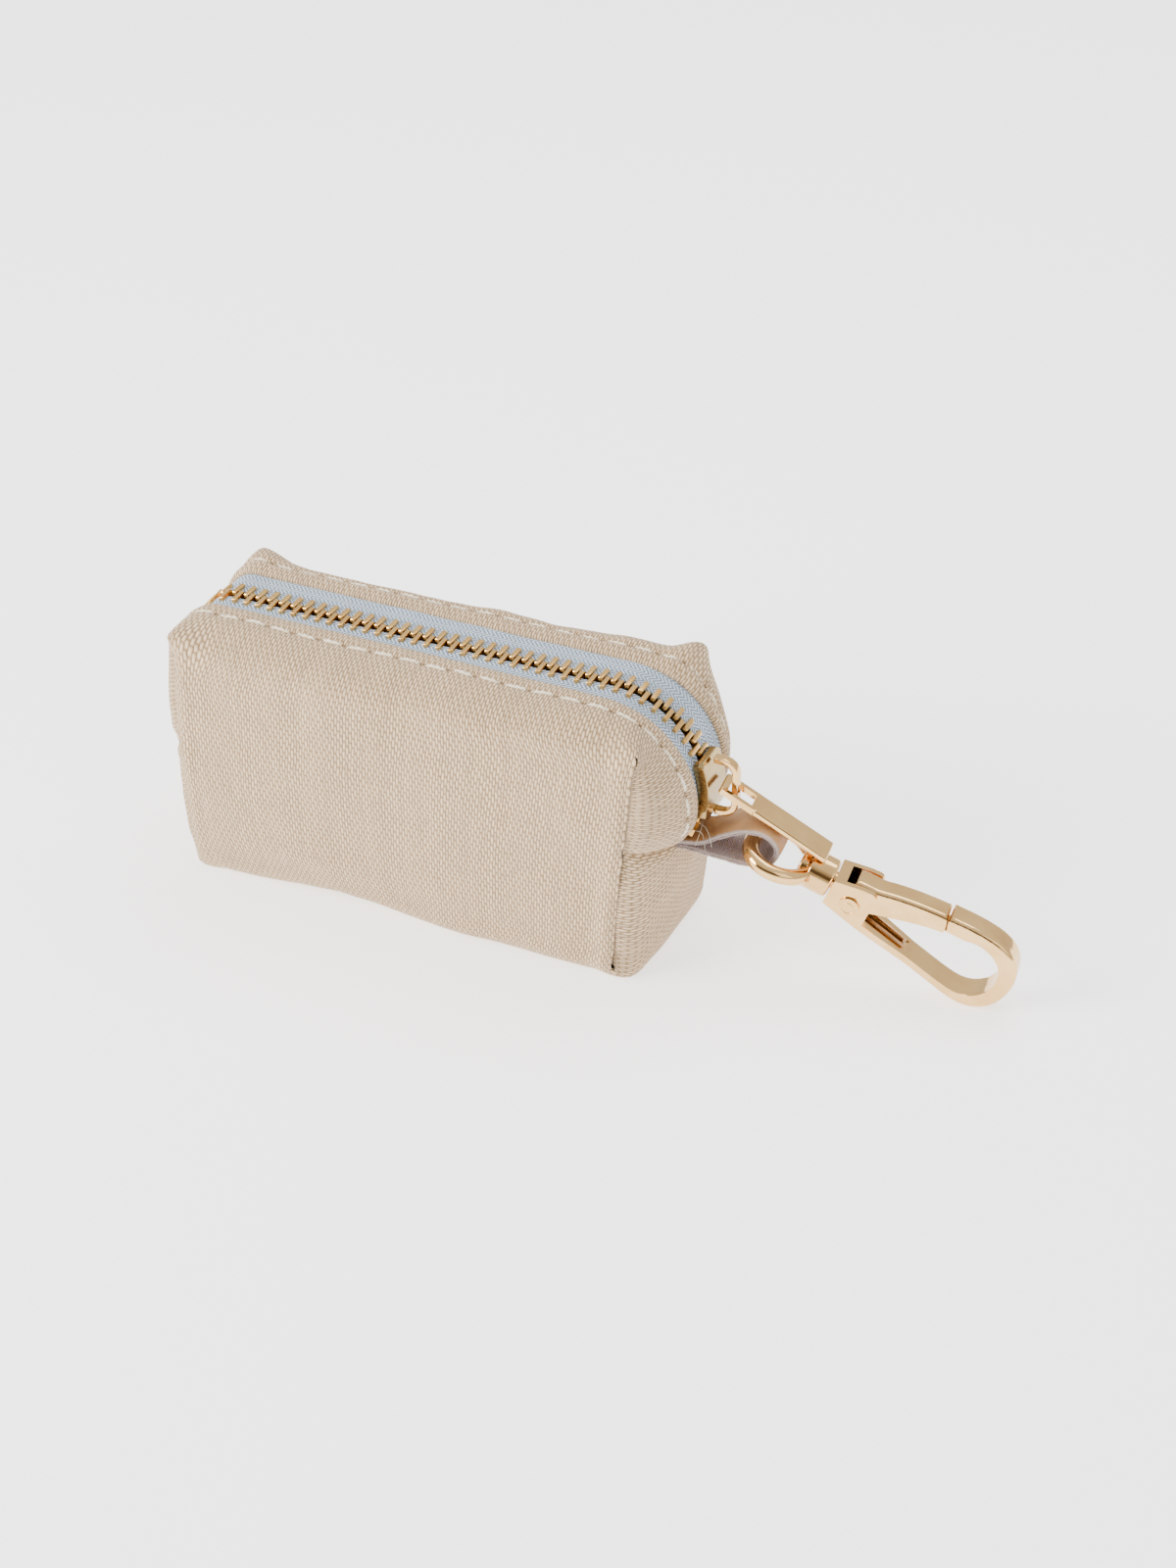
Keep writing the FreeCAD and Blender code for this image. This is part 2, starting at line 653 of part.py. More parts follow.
def corner_allowances():
    """Four upright seam allowances inside the boxed corners."""
    tabs = []
    for x0, x1 in ((40.6, 42.0), (-40.9, -39.5)):
        for y0, y1 in ((10.6, 14.4), (-14.4, -10.6)):
            tabs.append(box(x0, x1, y0, y1, 5.0, 20.0))
    return Part.makeCompound(tabs)


def main():
    os.makedirs("parts", exist_ok=True)
    skins = [block(d) for d in (0.0, CANVAS_T, CANVAS_T + TAPE_T, CANVAS_T + TAPE_T + LINING_T)]
    leather = strap_layer(0.0, LEATHER_T)
    backing = strap_layer(LEATHER_T, LEATHER_T + BACKING_T)
    strap_path = strap_passage()
    canvas = skins[0].cut(skins[1]).cut(zipper_slot(0.0)).cut(strap_path)
    tape_shell = skins[1].cut(skins[2])
    strap_room = strap_path.fuse(box(45.6, 48.0, -STRAP_HALF - 1.1, STRAP_HALF + 1.1, 22.9, 25.6))
    nodes = {
        "canvas_body": canvas,
        "lining": skins[2].cut(skins[3]).cut(zipper_slot(LINING_BACK_OFF)).cut(strap_path),
        "zip_tape_front": tape(-1, tape_shell),
        "zip_tape_back": tape(1, tape_shell),
        "teeth_front": teeth(-1),
        "teeth_back": teeth(1),
        "top_stops": top_stops(),
        "bottom_stop": bottom_stop(),
        "topstitch_front": stitch_row(-1, canvas),
        "topstitch_back": stitch_row(1, canvas),
        "seam_binding_right": end_binding(41.0, 47.1, 24.3).cut(strap_room),
        "seam_binding_left": end_binding(-43.2, -37.0, 26.0),
        "corner_allowances": corner_allowances(),
        "strap_leather": leather,
        "strap_backing": backing,
        "slider_body": slider_body(),
        "slider_crown": slider_crown(),
        "pull_tab": pull_tab(),
        "swivel_ring": swivel_ring(),
        "swivel_pin": swivel_pin(),
        "hook_body": hook_body(),
        "gate": gate(),
        "gate_rivet": gate_rivet(),
        "gate_spring": gate_spring(),
    }
    for name, shape in nodes.items():
        shape.exportStep(f"parts/{name}.step")


main()
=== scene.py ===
import math

import bmesh
import bpy
import numpy as np
from mathutils import Matrix, Vector, noise


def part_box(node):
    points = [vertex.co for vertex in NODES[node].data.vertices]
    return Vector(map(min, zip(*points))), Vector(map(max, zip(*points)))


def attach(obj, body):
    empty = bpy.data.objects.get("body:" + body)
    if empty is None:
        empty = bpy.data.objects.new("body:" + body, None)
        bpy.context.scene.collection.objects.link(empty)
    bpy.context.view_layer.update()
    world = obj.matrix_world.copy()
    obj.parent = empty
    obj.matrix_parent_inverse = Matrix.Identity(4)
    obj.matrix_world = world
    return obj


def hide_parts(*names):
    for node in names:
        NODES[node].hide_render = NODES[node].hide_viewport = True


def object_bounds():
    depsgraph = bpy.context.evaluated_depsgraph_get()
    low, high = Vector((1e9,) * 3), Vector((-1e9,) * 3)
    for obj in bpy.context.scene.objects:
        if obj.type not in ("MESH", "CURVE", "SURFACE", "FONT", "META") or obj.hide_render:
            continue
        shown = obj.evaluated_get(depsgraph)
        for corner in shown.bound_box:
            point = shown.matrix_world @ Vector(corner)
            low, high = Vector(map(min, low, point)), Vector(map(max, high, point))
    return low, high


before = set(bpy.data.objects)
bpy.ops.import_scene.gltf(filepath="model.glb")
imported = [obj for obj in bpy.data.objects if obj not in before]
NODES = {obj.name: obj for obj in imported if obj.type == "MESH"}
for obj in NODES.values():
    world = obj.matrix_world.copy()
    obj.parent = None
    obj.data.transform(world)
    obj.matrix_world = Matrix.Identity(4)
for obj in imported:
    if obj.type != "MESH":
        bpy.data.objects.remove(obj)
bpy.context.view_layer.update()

MM = 0.001

# Zipper path in the XZ plane, millimetres: right bend, straight top, left bend
ARC_X, ARC_Z, ARC_R = 34.5, 33.25, 18.25
LEFT_X, LEFT_Z, LEFT_R = -39.5, 44.5, 7.0
TOP_Z = 51.5

# Topstitch row: distance from the folded edge, first stitch, spacing and length
STITCH_ROW = 2.8
STITCH_START, STITCH_PITCH, STITCH_LENGTH = -43.0, 5.1, 4.2
# Place of the needle hole within one spacing, as a fraction
HOLE_AT = 0.5 * (1.0 + STITCH_LENGTH / STITCH_PITCH)


def path(u):
    """Point and outward direction of the zipper path at arc length u, measured from x = 0."""
    if u > ARC_X:
        a = math.radians(90.0) - (u - ARC_X) / ARC_R
        n = (math.cos(a), math.sin(a))
        return (ARC_X + ARC_R * n[0], ARC_Z + ARC_R * n[1]), n
    if u >= LEFT_X:
        return (u, TOP_Z), (0.0, 1.0)
    a = math.radians(90.0) + (LEFT_X - u) / LEFT_R
    if a <= math.pi:
        n = (math.cos(a), math.sin(a))
        return (LEFT_X + LEFT_R * n[0], LEFT_Z + LEFT_R * n[1]), n
    return (LEFT_X - LEFT_R, LEFT_Z - (LEFT_X - u - LEFT_R * math.pi / 2)), (-1.0, 0.0)


# ---- splines

def hermite(knots, points, at):
    """Smooth curve through points at knots, evaluated at the values in at. Points may be (n, ..., 3)."""
    k = np.asarray(knots, float)
    p = np.asarray(points, float)
    h = np.diff(k)
    slope = (p[1:] - p[:-1]) / h.reshape((-1,) + (1,) * (p.ndim - 1))
    m = np.empty_like(p)
    m[0], m[-1] = slope[0], slope[-1]
    for i in range(1, len(k) - 1):
        m[i] = (slope[i] * h[i - 1] + slope[i - 1] * h[i]) / (h[i - 1] + h[i])
    out = []
    for t in np.atleast_1d(at):
        i = int(np.clip(np.searchsorted(k, t, side="right") - 1, 0, len(k) - 2))
        s = (t - k[i]) / h[i]
        s2, s3 = s * s, s * s * s
        out.append(
            (2 * s3 - 3 * s2 + 1) * p[i] + (s3 - 2 * s2 + s) * h[i] * m[i]
            + (3 * s2 - 2 * s3) * p[i + 1] + (s3 - s2) * h[i] * m[i + 1]
        )
    return np.array(out)


def unit(rows):
    return rows / np.linalg.norm(rows, axis=1, keepdims=True)


def graded(a, b, step, fine_a=None, fine_b=None, reach=3.0):
    """Samples from a to b, closer together near an end where a fine step is given."""
    out = [a]
    sign = 1.0 if b > a else -1.0
    while True:
        t = out[-1]
        d = step
        if fine_a is not None:
            d = min(d, fine_a + (step - fine_a) * min(1.0, abs(t - a) / reach))
        if fine_b is not None:
            d = min(d, fine_b + (step - fine_b) * min(1.0, abs(b - t) / reach))
        if abs(b - t) <= d * 1.3:
            break
        out.append(t + sign * d)
    out.append(b)
    return out


# ---- pouch control net

# U of the control columns. The four corner seams start at U_R and U_L.
U_R, U_L = 43.4, -42.2
U_MID = [U_L, -36.0, -25.0, -10.0, 5.0, 20.0, 32.0, 38.3, U_R]
U_TOP_R = [48.8, 54.6, 60.6, 66.4, 71.8]
U_TOP_L = [-68.7, -66.0, -61.0, -55.0, -50.5, -48.0, -45.0]
U_LOW_R = [47.4, 53.6, 60.8, 69.0]
U_LOW_L = [-68.0, -59.5, -52.4, -46.2]
V_ROWS = [0.0, 2.8, 6.0, 9.0, 12.0, 17.0, 24.0, 34.0, 45.0, 53.0, 59.5, 62.6, 67.2, 75.2]

FRONT, BACK = -1, 1
FOLD = {FRONT: 5.6, BACK: 8.4}

# y and z of rows 0 to 4 over the straight top, and rows 5 to 13 below them
TOP_ROWS = {
    FRONT: [(5.6, 51.5), (8.4, 51.45), (11.3, 50.9), (13.9, 49.7), (15.9, 47.9)],
    BACK: [(8.4, 51.3), (10.9, 51.9), (13.0, 51.75), (15.1, 50.6), (16.5, 48.2)],
}
SIDE_ROWS = [(16.8, 43.0), (17.1, 36.0), (17.2, 26.0), (17.1, 15.0), (16.9, 7.0), (16.1, 2.0)]
BASE_ROWS = [(13.6, 0.2), (8.0, 0.0), (0.0, 0.0)]
RIGHT_X = {
    FRONT: [45.3, 44.75, 43.6, 42.9, 42.3, 41.9, 43.9, 44.7, 45.2],
    BACK: [45.2, 45.9, 46.2, 46.1, 46.0, 45.4, 45.6, 45.6, 45.2],
}
LEFT_SIDE_X = [-44.3, -44.4, -44.3, -44.0, -43.3, -41.9, -43.0, -43.5, -43.8]

# Corner columns of rows 0 to 4: where the upper end of each corner seam stands up as an ear
EAR_R = {
    FRONT: [
        (43.2, 5.6, 49.45), (43.5, 8.4, 49.6), (44.1, 11.5, 49.55), (44.9, 14.3, 49.2), (45.6, 16.2, 48.3),
    ],
    BACK: [(43.2, 8.4, 49.6), (43.3, 11.0, 51.1), (43.6, 13.2, 52.1), (44.0, 15.4, 52.2), (44.4, 16.9, 50.9)],
}
EAR_L = {
    FRONT: [
        (-42.1, 5.6, 51.0), (-42.6, 8.4, 51.0), (-43.1, 11.5, 50.7), (-43.6, 14.3, 50.3), (-44.0, 16.3, 49.5),
    ],
    BACK: [
        (-42.1, 8.4, 51.1), (-42.4, 11.0, 51.7), (-42.7, 13.2, 51.9), (-43.1, 15.3, 51.4),
        (-43.6, 16.8, 49.7),
    ],
}

# End columns of rows 0 to 4: from the folded edge out to the corner seam
END_R = {
    FRONT: [
        [(47.4, 5.6, 46.15), (47.45, 8.4, 46.2), (47.2, 11.5, 46.0), (46.5, 14.3, 45.6), (45.4, 16.5, 45.0)],
        [(50.76, 5.6, 41.5), (50.5, 8.4, 41.5), (49.5, 11.6, 41.3), (47.7, 14.6, 41.1), (45.1, 16.7, 41.0)],
        [(52.5, 5.6, 35.8), (52.1, 8.4, 35.9), (50.8, 11.7, 36.1), (48.4, 14.8, 36.4), (44.8, 16.8, 36.8)],
        [(52.1, 5.6, 30.0), (51.6, 8.4, 30.3), (50.1, 11.7, 31.0), (47.7, 14.6, 31.7), (44.5, 16.8, 32.5)],
        [(48.9, 5.6, 25.1), (47.95, 8.4, 25.4), (46.6, 11.6, 26.3), (45.3, 14.3, 27.5), (44.2, 16.5, 28.6)],
    ],
    BACK: [
        [(47.4, 8.4, 46.3), (47.5, 11.0, 46.7), (47.2, 13.2, 46.8), (46.5, 15.3, 46.6), (45.0, 16.9, 46.0)],
        [(50.6, 8.4, 41.5), (50.2, 11.0, 41.6), (49.2, 13.3, 41.6), (47.8, 15.3, 41.4), (45.5, 16.9, 41.0)],
        [(52.2, 8.4, 35.8), (51.6, 11.0, 35.9), (50.3, 13.4, 36.1), (48.5, 15.3, 36.4), (46.0, 16.8, 36.6)],
        [(51.7, 8.4, 30.2), (51.0, 11.0, 30.5), (49.8, 13.3, 31.0), (48.1, 15.2, 31.6), (46.2, 16.7, 32.2)],
        [(48.4, 8.4, 25.4), (47.7, 11.0, 26.1), (47.1, 13.2, 26.9), (46.6, 15.0, 27.6), (46.1, 16.4, 28.4)],
    ],
}
END_L = [
    [(-46.2, 5.6, 26.4), (-46.1, 8.4, 26.6), (-45.8, 11.6, 26.9), (-45.3, 14.3, 27.3), (-44.4, 16.5, 28.0)],
    [(-46.5, 5.6, 29.0), (-46.4, 8.4, 29.1), (-46.2, 11.6, 29.4), (-45.6, 14.5, 29.8), (-44.4, 16.7, 30.2)],
    [(-46.6, 5.6, 34.0), (-46.5, 8.4, 34.0), (-46.4, 11.7, 34.2), (-45.8, 14.7, 34.4), (-44.4, 16.8, 34.7)],
    [(-46.6, 5.6, 40.0), (-46.5, 8.4, 40.0), (-46.3, 11.7, 40.0), (-45.7, 14.7, 40.0), (-44.3, 16.8, 40.0)],
    [(-46.5, 5.6, 44.5), (-46.4, 8.4, 44.4), (-46.1, 11.7, 44.1), (-45.4, 14.7, 43.9), (-44.3, 16.7, 43.6)],
    [(-46.0, 5.6, 47.0), (-46.0, 8.4, 46.9), (-45.7, 11.7, 46.6), (-45.1, 14.6, 46.3), (-44.2, 16.6, 45.8)],
    [(-44.5, 5.6, 49.4), (-44.8, 8.4, 49.3), (-44.9, 11.6, 49.0), (-44.6, 14.5, 48.6), (-44.1, 16.5, 47.9)],
]

# Lower end columns of rows 10 to 13: from the corner seam to the middle
LOW_R = {
    FRONT: [
        [(42.3, 16.2, 5.0), (44.9, 13.0, 3.6), (46.2, 8.0, 3.3), (46.9, 0.0, 3.2)],
        [(42.8, 16.8, 11.0), (45.3, 13.2, 10.0), (46.9, 8.0, 9.6), (47.9, 0.0, 9.4)],
        [(43.4, 16.9, 19.0), (45.9, 13.3, 18.2), (47.7, 8.0, 17.3), (48.9, 0.0, 16.8)],
        [(44.2, 16.5, 28.3), (45.3, 14.2, 27.1), (47.8, 8.6, 25.0), (49.5, 0.0, 24.0)],
    ],
    BACK: [
        [(46.0, 16.0, 5.0), (46.6, 13.0, 3.8), (46.9, 8.0, 3.4), (46.9, 0.0, 3.2)],
        [(46.1, 16.5, 11.0), (47.2, 13.2, 10.0), (47.7, 8.0, 9.6), (47.9, 0.0, 9.4)],
        [(46.1, 16.6, 19.0), (47.4, 13.3, 18.2), (48.2, 8.0, 17.3), (48.9, 0.0, 16.8)],
        [(46.1, 16.3, 28.1), (46.7, 14.2, 27.1), (48.3, 8.6, 25.0), (49.5, 0.0, 24.0)],
    ],
}
LOW_L = [
    [(-44.4, 16.5, 27.7), (-45.3, 14.2, 26.9), (-46.0, 8.6, 26.2), (-46.4, 0.0, 25.9)],
    [(-44.2, 16.9, 19.0), (-45.4, 13.3, 18.0), (-46.0, 8.0, 17.4), (-46.3, 0.0, 17.0)],
    [(-43.8, 16.8, 11.0), (-45.1, 13.2, 10.0), (-45.6, 8.0, 9.6), (-45.9, 0.0, 9.5)],
    [(-43.2, 16.2, 5.0), (-44.5, 13.0, 3.7), (-44.9, 8.0, 3.2), (-45.1, 0.0, 3.1)],
]

# Height of the rear ridge over the straight top, low in the middle and rising to both ears
RIDGE = [
    (-42.2, 0.2), (-36.0, -0.9), (-27.0, -2.1), (-10.0, -1.6), (5.0, -1.2), (20.0, -0.8), (32.0, -0.2),
    (43.4, 0.4),
]


def control_rows(side):
    """For each row, the U knots and points of its control columns, with y already signed."""
    rows = []
    for r in range(14):
        knots, points = [], []
        if r <= 4:
            for u, column in zip(U_TOP_L, END_L):
                x, y, z = column[r]
                if side == BACK:
                    y = [8.4, 10.9, 13.2, 15.3, 16.7][r]
                knots.append(u)
                points.append((x, y, z))
        if r >= 10:
            for u, column in zip(U_LOW_L, LOW_L):
                knots.append(u)
                points.append(column[r - 10])
        for u in U_MID:
            if r <= 4:
                if u == U_L:
                    point = EAR_L[side][r]
                elif u == U_R:
                    point = EAR_R[side][r]
                else:
                    (px, pz), _ = path(u)
                    y, z = TOP_ROWS[side][r]
                    rise = np.interp(u, *zip(*RIDGE)) if side == BACK else 0.0
                    weight = (0.0, 0.15, 0.7, 1.0, 0.7)[r]
                    out = (0.0, 0.1, 0.4, 0.7, 1.0)[r] if u > 36 else 0.0
                    point = (px + out, y, z - (TOP_Z - pz) * (1.0 - 0.2 * r) + rise * weight)
            else:
                y, z = (SIDE_ROWS + BASE_ROWS)[r - 5]
                xr, xl = RIGHT_X[side][r - 5], LEFT_SIDE_X[r - 5]
                point = (xl + (xr - xl) * (u - U_L) / (U_R - U_L), y, z)
            knots.append(u)
            points.append(point)
        if r <= 4:
            for u, column in zip(U_TOP_R, END_R[side]):
                knots.append(u)
                points.append(column[r])
        if r >= 10:
            for u, column in zip(U_LOW_R, LOW_R[side]):
                knots.append(u)
                points.append(column[r - 10])
        p = np.array(points, float)
        p[:, 1] *= side
        rows.append((knots, p))
    return rows


ROWS = {side: control_rows(side) for side in (FRONT, BACK)}


def row_curve(side, r, us):
    knots, points = ROWS[side][r]
    return hermite(knots, points, us)


def tucked(side, r, us, right):
    """Row beyond a corner seam that turns the surface in towards the seam."""
    knots, points = ROWS[side][r]
    edge_row = 4 if r == 5 else 10
    edge = row_curve(side, edge_row, us)
    sign = 1.0 if right else -1.0
    inner = edge + np.array([-sign * 4.0, -side * 0.4, 0.0])
    corner = U_R if right else U_L
    start = row_curve(side, r, [corner])[0] - row_curve(side, edge_row, [corner])[0]
    out = []
    for u, e, i in zip(us, edge, inner):
        t = min(1.0, abs(u - corner) / 4.0)
        t = t * t * (3 - 2 * t)
        out.append(e + start * (1 - t) + (i - e) * t)
    return np.array(out)


# ---- sculpting

def sampled(points, n=60):
    p = np.array(points, float)
    k = np.arange(len(p))
    return hermite(k, p, np.linspace(0, len(p) - 1, n))


def near(p, line):
    """Distance from each point to a sampled line, and the place along it from 0 to 1."""
    best = np.full(len(p), 1e9)
    place = np.zeros(len(p))
    for i, q in enumerate(line):
        d = np.linalg.norm(p - q, axis=1)
        closer = d < best
        best[closer] = d[closer]
        place[closer] = i / (len(line) - 1)
    return best, place


def corner_line(side, right):
    columns = (END_R[side] if right else END_L[::-1])
    ear = (EAR_R if right else EAR_L)[side][4]
    low = (LOW_R[side] if right else LOW_L[::-1])
    ends = [ear] + [c[4] for c in columns] + [c[0] for c in low[::-1] if c[0][2] < 27]
    bottom = (RIGHT_X[side][5] if right else LEFT_SIDE_X[5], 15.3, 1.8)
    p = np.array(ends + [bottom], float)
    p[:, 1] *= side
    return sampled(p, 140)


def end_line(right):
    if right:
        front = [(44.2, -16.5, 28.5), (45.3, -14.2, 27.3), (47.8, -8.6, 25.2), (49.4, -3.0, 24.4)]
        back = [(49.4, 3.0, 24.4), (48.3, 8.6, 25.2), (46.7, 14.2, 27.2), (46.1, 16.4, 28.3)]
    else:
        front = [(-44.4, -16.5, 27.9), (-45.3, -14.2, 27.1), (-46.0, -8.6, 26.3), (-46.3, -3.0, 26.1)]
        back = [(-46.3, 3.0, 26.1), (-46.0, 8.6, 26.3), (-45.3, 14.2, 27.1), (-44.4, 16.5, 27.9)]
    return sampled(front + back, 90)


CORNERS = [(corner_line(s, right), s, right) for s in (FRONT, BACK) for right in (True, False)]
ENDS = [(end_line(True), 1.0), (end_line(False), -1.0)]

# Soft hollows: x, z, radius across, radius down, depth
HOLLOWS = {
    FRONT: [(-37.0, 42.5, 3.6, 7.0, 0.42), (-19.0, 41.5, 3.2, 8.0, 0.45), (-11.0, 39.0, 3.0, 9.0, -0.25),
            (4.0, 43.0, 5.0, 5.0, 0.25), (24.0, 42.0, 6.0, 5.5, 0.3), (36.0, 36.0, 4.0, 10.0, -0.4),
            (-30.0, 18.0, 9.0, 9.0, -0.35), (12.0, 14.0, 14.0, 8.0, -0.3), (37.5, 12.0, 2.6, 9.0, 0.35)],
    BACK: [(-28.0, 40.0, 5.0, 8.0, 0.5), (-5.0, 41.0, 6.0, 7.0, 0.4), (22.0, 40.0, 5.0, 8.0, 0.5),
           (-15.0, 20.0, 12.0, 9.0, -0.4), (20.0, 16.0, 12.0, 9.0, -0.35), (38.0, 30.0, 3.0, 10.0, 0.3)],
}


def outward(p):
    """Smooth outward direction for points on the pouch."""
    c = np.array([1.5, 0.0, 26.0])
    a = np.array([48.0, 17.0, 26.0])
    q = (p - c) / a
    g = np.sign(q) * np.abs(q) ** 5 / a
    return g / np.maximum(np.linalg.norm(g, axis=1, keepdims=True), 1e-9)


def sculpt(p, calm=0.0):
    """Adds the sag, hollows, seams and small unevenness of sewn cloth. Calm holds the folded edges still."""
    p = p.copy()
    n = outward(p)
    push = np.zeros(len(p))
    for side, items in HOLLOWS.items():
        face = np.clip((p[:, 1] * side - 12.0) / 4.0, 0.0, 1.0)
        for x, z, rx, rz, depth in items:
            push -= face * depth * np.exp(-((p[:, 0] - x) / rx) ** 2 - ((p[:, 2] - z) / rz) ** 2)
    broad = np.array([noise.noise(Vector(q) * 0.085) for q in p])
    fine = np.array([noise.noise(Vector(q) * 0.21) for q in p])
    push += (broad * 0.55 + fine * 0.22) * (1.0 - calm)
    floor = np.clip(p[:, 2] / 3.0, 0.0, 1.0)
    p += n * (push * floor)[:, None]
    # The front lower edge draws back left of the middle
    low = np.clip(1.0 - p[:, 2] / 10.0, 0.0, 1.0) * (p[:, 1] < -9)
    wave = np.exp(-((p[:, 0] + 12.0) / 12.0) ** 2)
    p[:, 1] += 1.7 * low * wave
    p[:, 2] += 0.8 * low * wave
    for line, side, right in CORNERS:
        d, t = near(p, line)
        fade = np.clip(t / 0.16, 0, 1) * np.clip((1 - t) / 0.04, 0, 1)
        depth = fade * (0.75 * np.exp(-(d / 0.75) ** 2) + 0.55 * np.exp(-(d / 2.4) ** 2))
        sign = 1.0 if right else -1.0
        p += np.outer(depth, np.array([-0.72 * sign, -0.69 * side, 0.0]))
        # A soft roll of cloth beside the seam
        roll = fade * 0.28 * np.exp(-((d - 2.6) / 1.2) ** 2)
        p += n * roll[:, None]
    for line, sign in ENDS:
        d, _ = near(p, line)
        depth = 0.7 * np.exp(-(d / 0.7) ** 2) + 0.35 * np.exp(-(d / 2.0) ** 2)
        roll = 0.22 * np.exp(-((d - 2.2) / 1.0) ** 2)
        p[:, 0] -= sign * (depth - roll)
    return p


# ---- mesh helpers

def link(ob):
    bpy.context.scene.collection.objects.link(ob)


def mesh_object(name, verts, faces, uvs=None, scale=MM):
    """Mesh from millimetre points. uvs holds one (u, v) per vertex, in millimetres."""
    me = bpy.data.meshes.new(name)
    me.from_pydata([tuple(float(c) * scale for c in v) for v in verts], [], faces)
    if uvs is not None:
        layer = me.uv_layers.new(name="weave")
        index = np.empty(len(me.loops), dtype=np.int32)
        me.loops.foreach_get("vertex_index", index)
        layer.data.foreach_set("uv", np.asarray(uvs, np.float32)[index].ravel())
    me.polygons.foreach_set("use_smooth", [True] * len(me.polygons))
    me.update()
    ob = bpy.data.objects.new(name, me)
    link(ob)
    return ob


def face_outward(ob):
    bm = bmesh.new()
    bm.from_mesh(ob.data)
    bmesh.ops.recalc_face_normals(bm, faces=bm.faces)
    bm.to_mesh(ob.data)
    bm.free()


class Sheet:
    """Collects grids of points and uvs into one mesh."""

    def __init__(self):
        self.verts, self.uvs, self.faces = [], [], []

    def grid(self, points, uvs, flip=False):
        rows, cols = len(points), len(points[0])
        base = len(self.verts)
        for r in range(rows):
            for c in range(cols):
                self.verts.append(points[r][c])
                self.uvs.append(uvs[r][c])
        for r in range(rows - 1):
            for c in range(cols - 1):
                a = base + r * cols + c
                quad = (a, a + 1, a + cols + 1, a + cols)
                self.faces.append(quad[::-1] if flip else quad)

    def build(self, name):
        ob = mesh_object(name, self.verts, self.faces, self.uvs)
        bm = bmesh.new()
        bm.from_mesh(ob.data)
        bmesh.ops.remove_doubles(bm, verts=bm.verts, dist=0.004 * MM)
        bmesh.ops.dissolve_degenerate(bm, edges=bm.edges, dist=1e-7)
        bm.to_mesh(ob.data)
        bm.free()
        ob.data.polygons.foreach_set("use_smooth", [True] * len(ob.data.polygons))
        return ob


def solidify(ob, thickness, offset=-1.0):
    mod = ob.modifiers.new("thickness", "SOLIDIFY")
    mod.thickness = thickness * MM
    mod.offset = offset
    mod.use_even_offset = False
    mod.use_quality_normals = True
    return mod


# ---- pouch shell

def rows_at(side, us, part):
    """Points of the surface for every U in us, per V sample: (v list, array rows x cols x 3)."""
    if part == "mid":
        curves = np.array([row_curve(side, r, us) for r in range(14)])
        vs = (
            graded(0.0, 12.0, 0.62, 0.3, None) + graded(12.0, 59.5, 0.8)[1:]
            + graded(59.5, 75.2, 0.8, None, None)[1:]
        )
        return vs, hermite(V_ROWS, curves, vs)
    right = us[-1] > 0
    if part == "top":
        curves = [row_curve(side, r, us) for r in range(5)] + [tucked(side, 5, us, right)]
        vs = graded(0.0, 12.0, 0.62, 0.3, None)
        return vs, hermite(V_ROWS[:6], np.array(curves), vs)
    curves = [tucked(side, 9, us, right)] + [row_curve(side, r, us) for r in range(10, 14)]
    vs = graded(59.5, 75.2, 0.8, None, None)
    return vs, hermite(V_ROWS[9:], np.array(curves), vs)


def open_front(p, vs, us, side):
    """Draws the front fold a little further from the teeth, most of all over the right bend."""
    if side == BACK:
        return p
    p = p.copy()
    us = np.array(us)
    amount = 0.55 + 0.55 * np.exp(-((us - 34.0) / 22.0) ** 2)
    for i, v in enumerate(vs):
        p[i, :, 1] -= amount * np.clip(1.0 - v / 9.0, 0.0, 1.0)
    return p


def stitch_groove(p, vs, us, side):
    """Presses the cloth down along the topstitch, deepest at the needle holes."""
    p = p.copy()
    us = np.array(us)
    turn = np.mod((us - STITCH_START) / STITCH_PITCH, 1.0)
    hole = np.exp(-(((turn - HOLE_AT) * STITCH_PITCH) / 0.55) ** 2)
    for i, v in enumerate(vs):
        n = outward(p[i])
        base = (0.22 if side == FRONT else 0.5) * math.exp(-((v - STITCH_ROW) / 0.8) ** 2)
        pit = 0.32 * math.exp(-((v - STITCH_ROW) / 0.5) ** 2) * hole
        rib = 0.12 * math.exp(-((v - 1.2) / 0.8) ** 2)
        p[i] += n * (rib - base - pit)[:, None]
    return p


def shift_in(p, depth):
    return p - outward(p.reshape(-1, 3)).reshape(p.shape) * depth


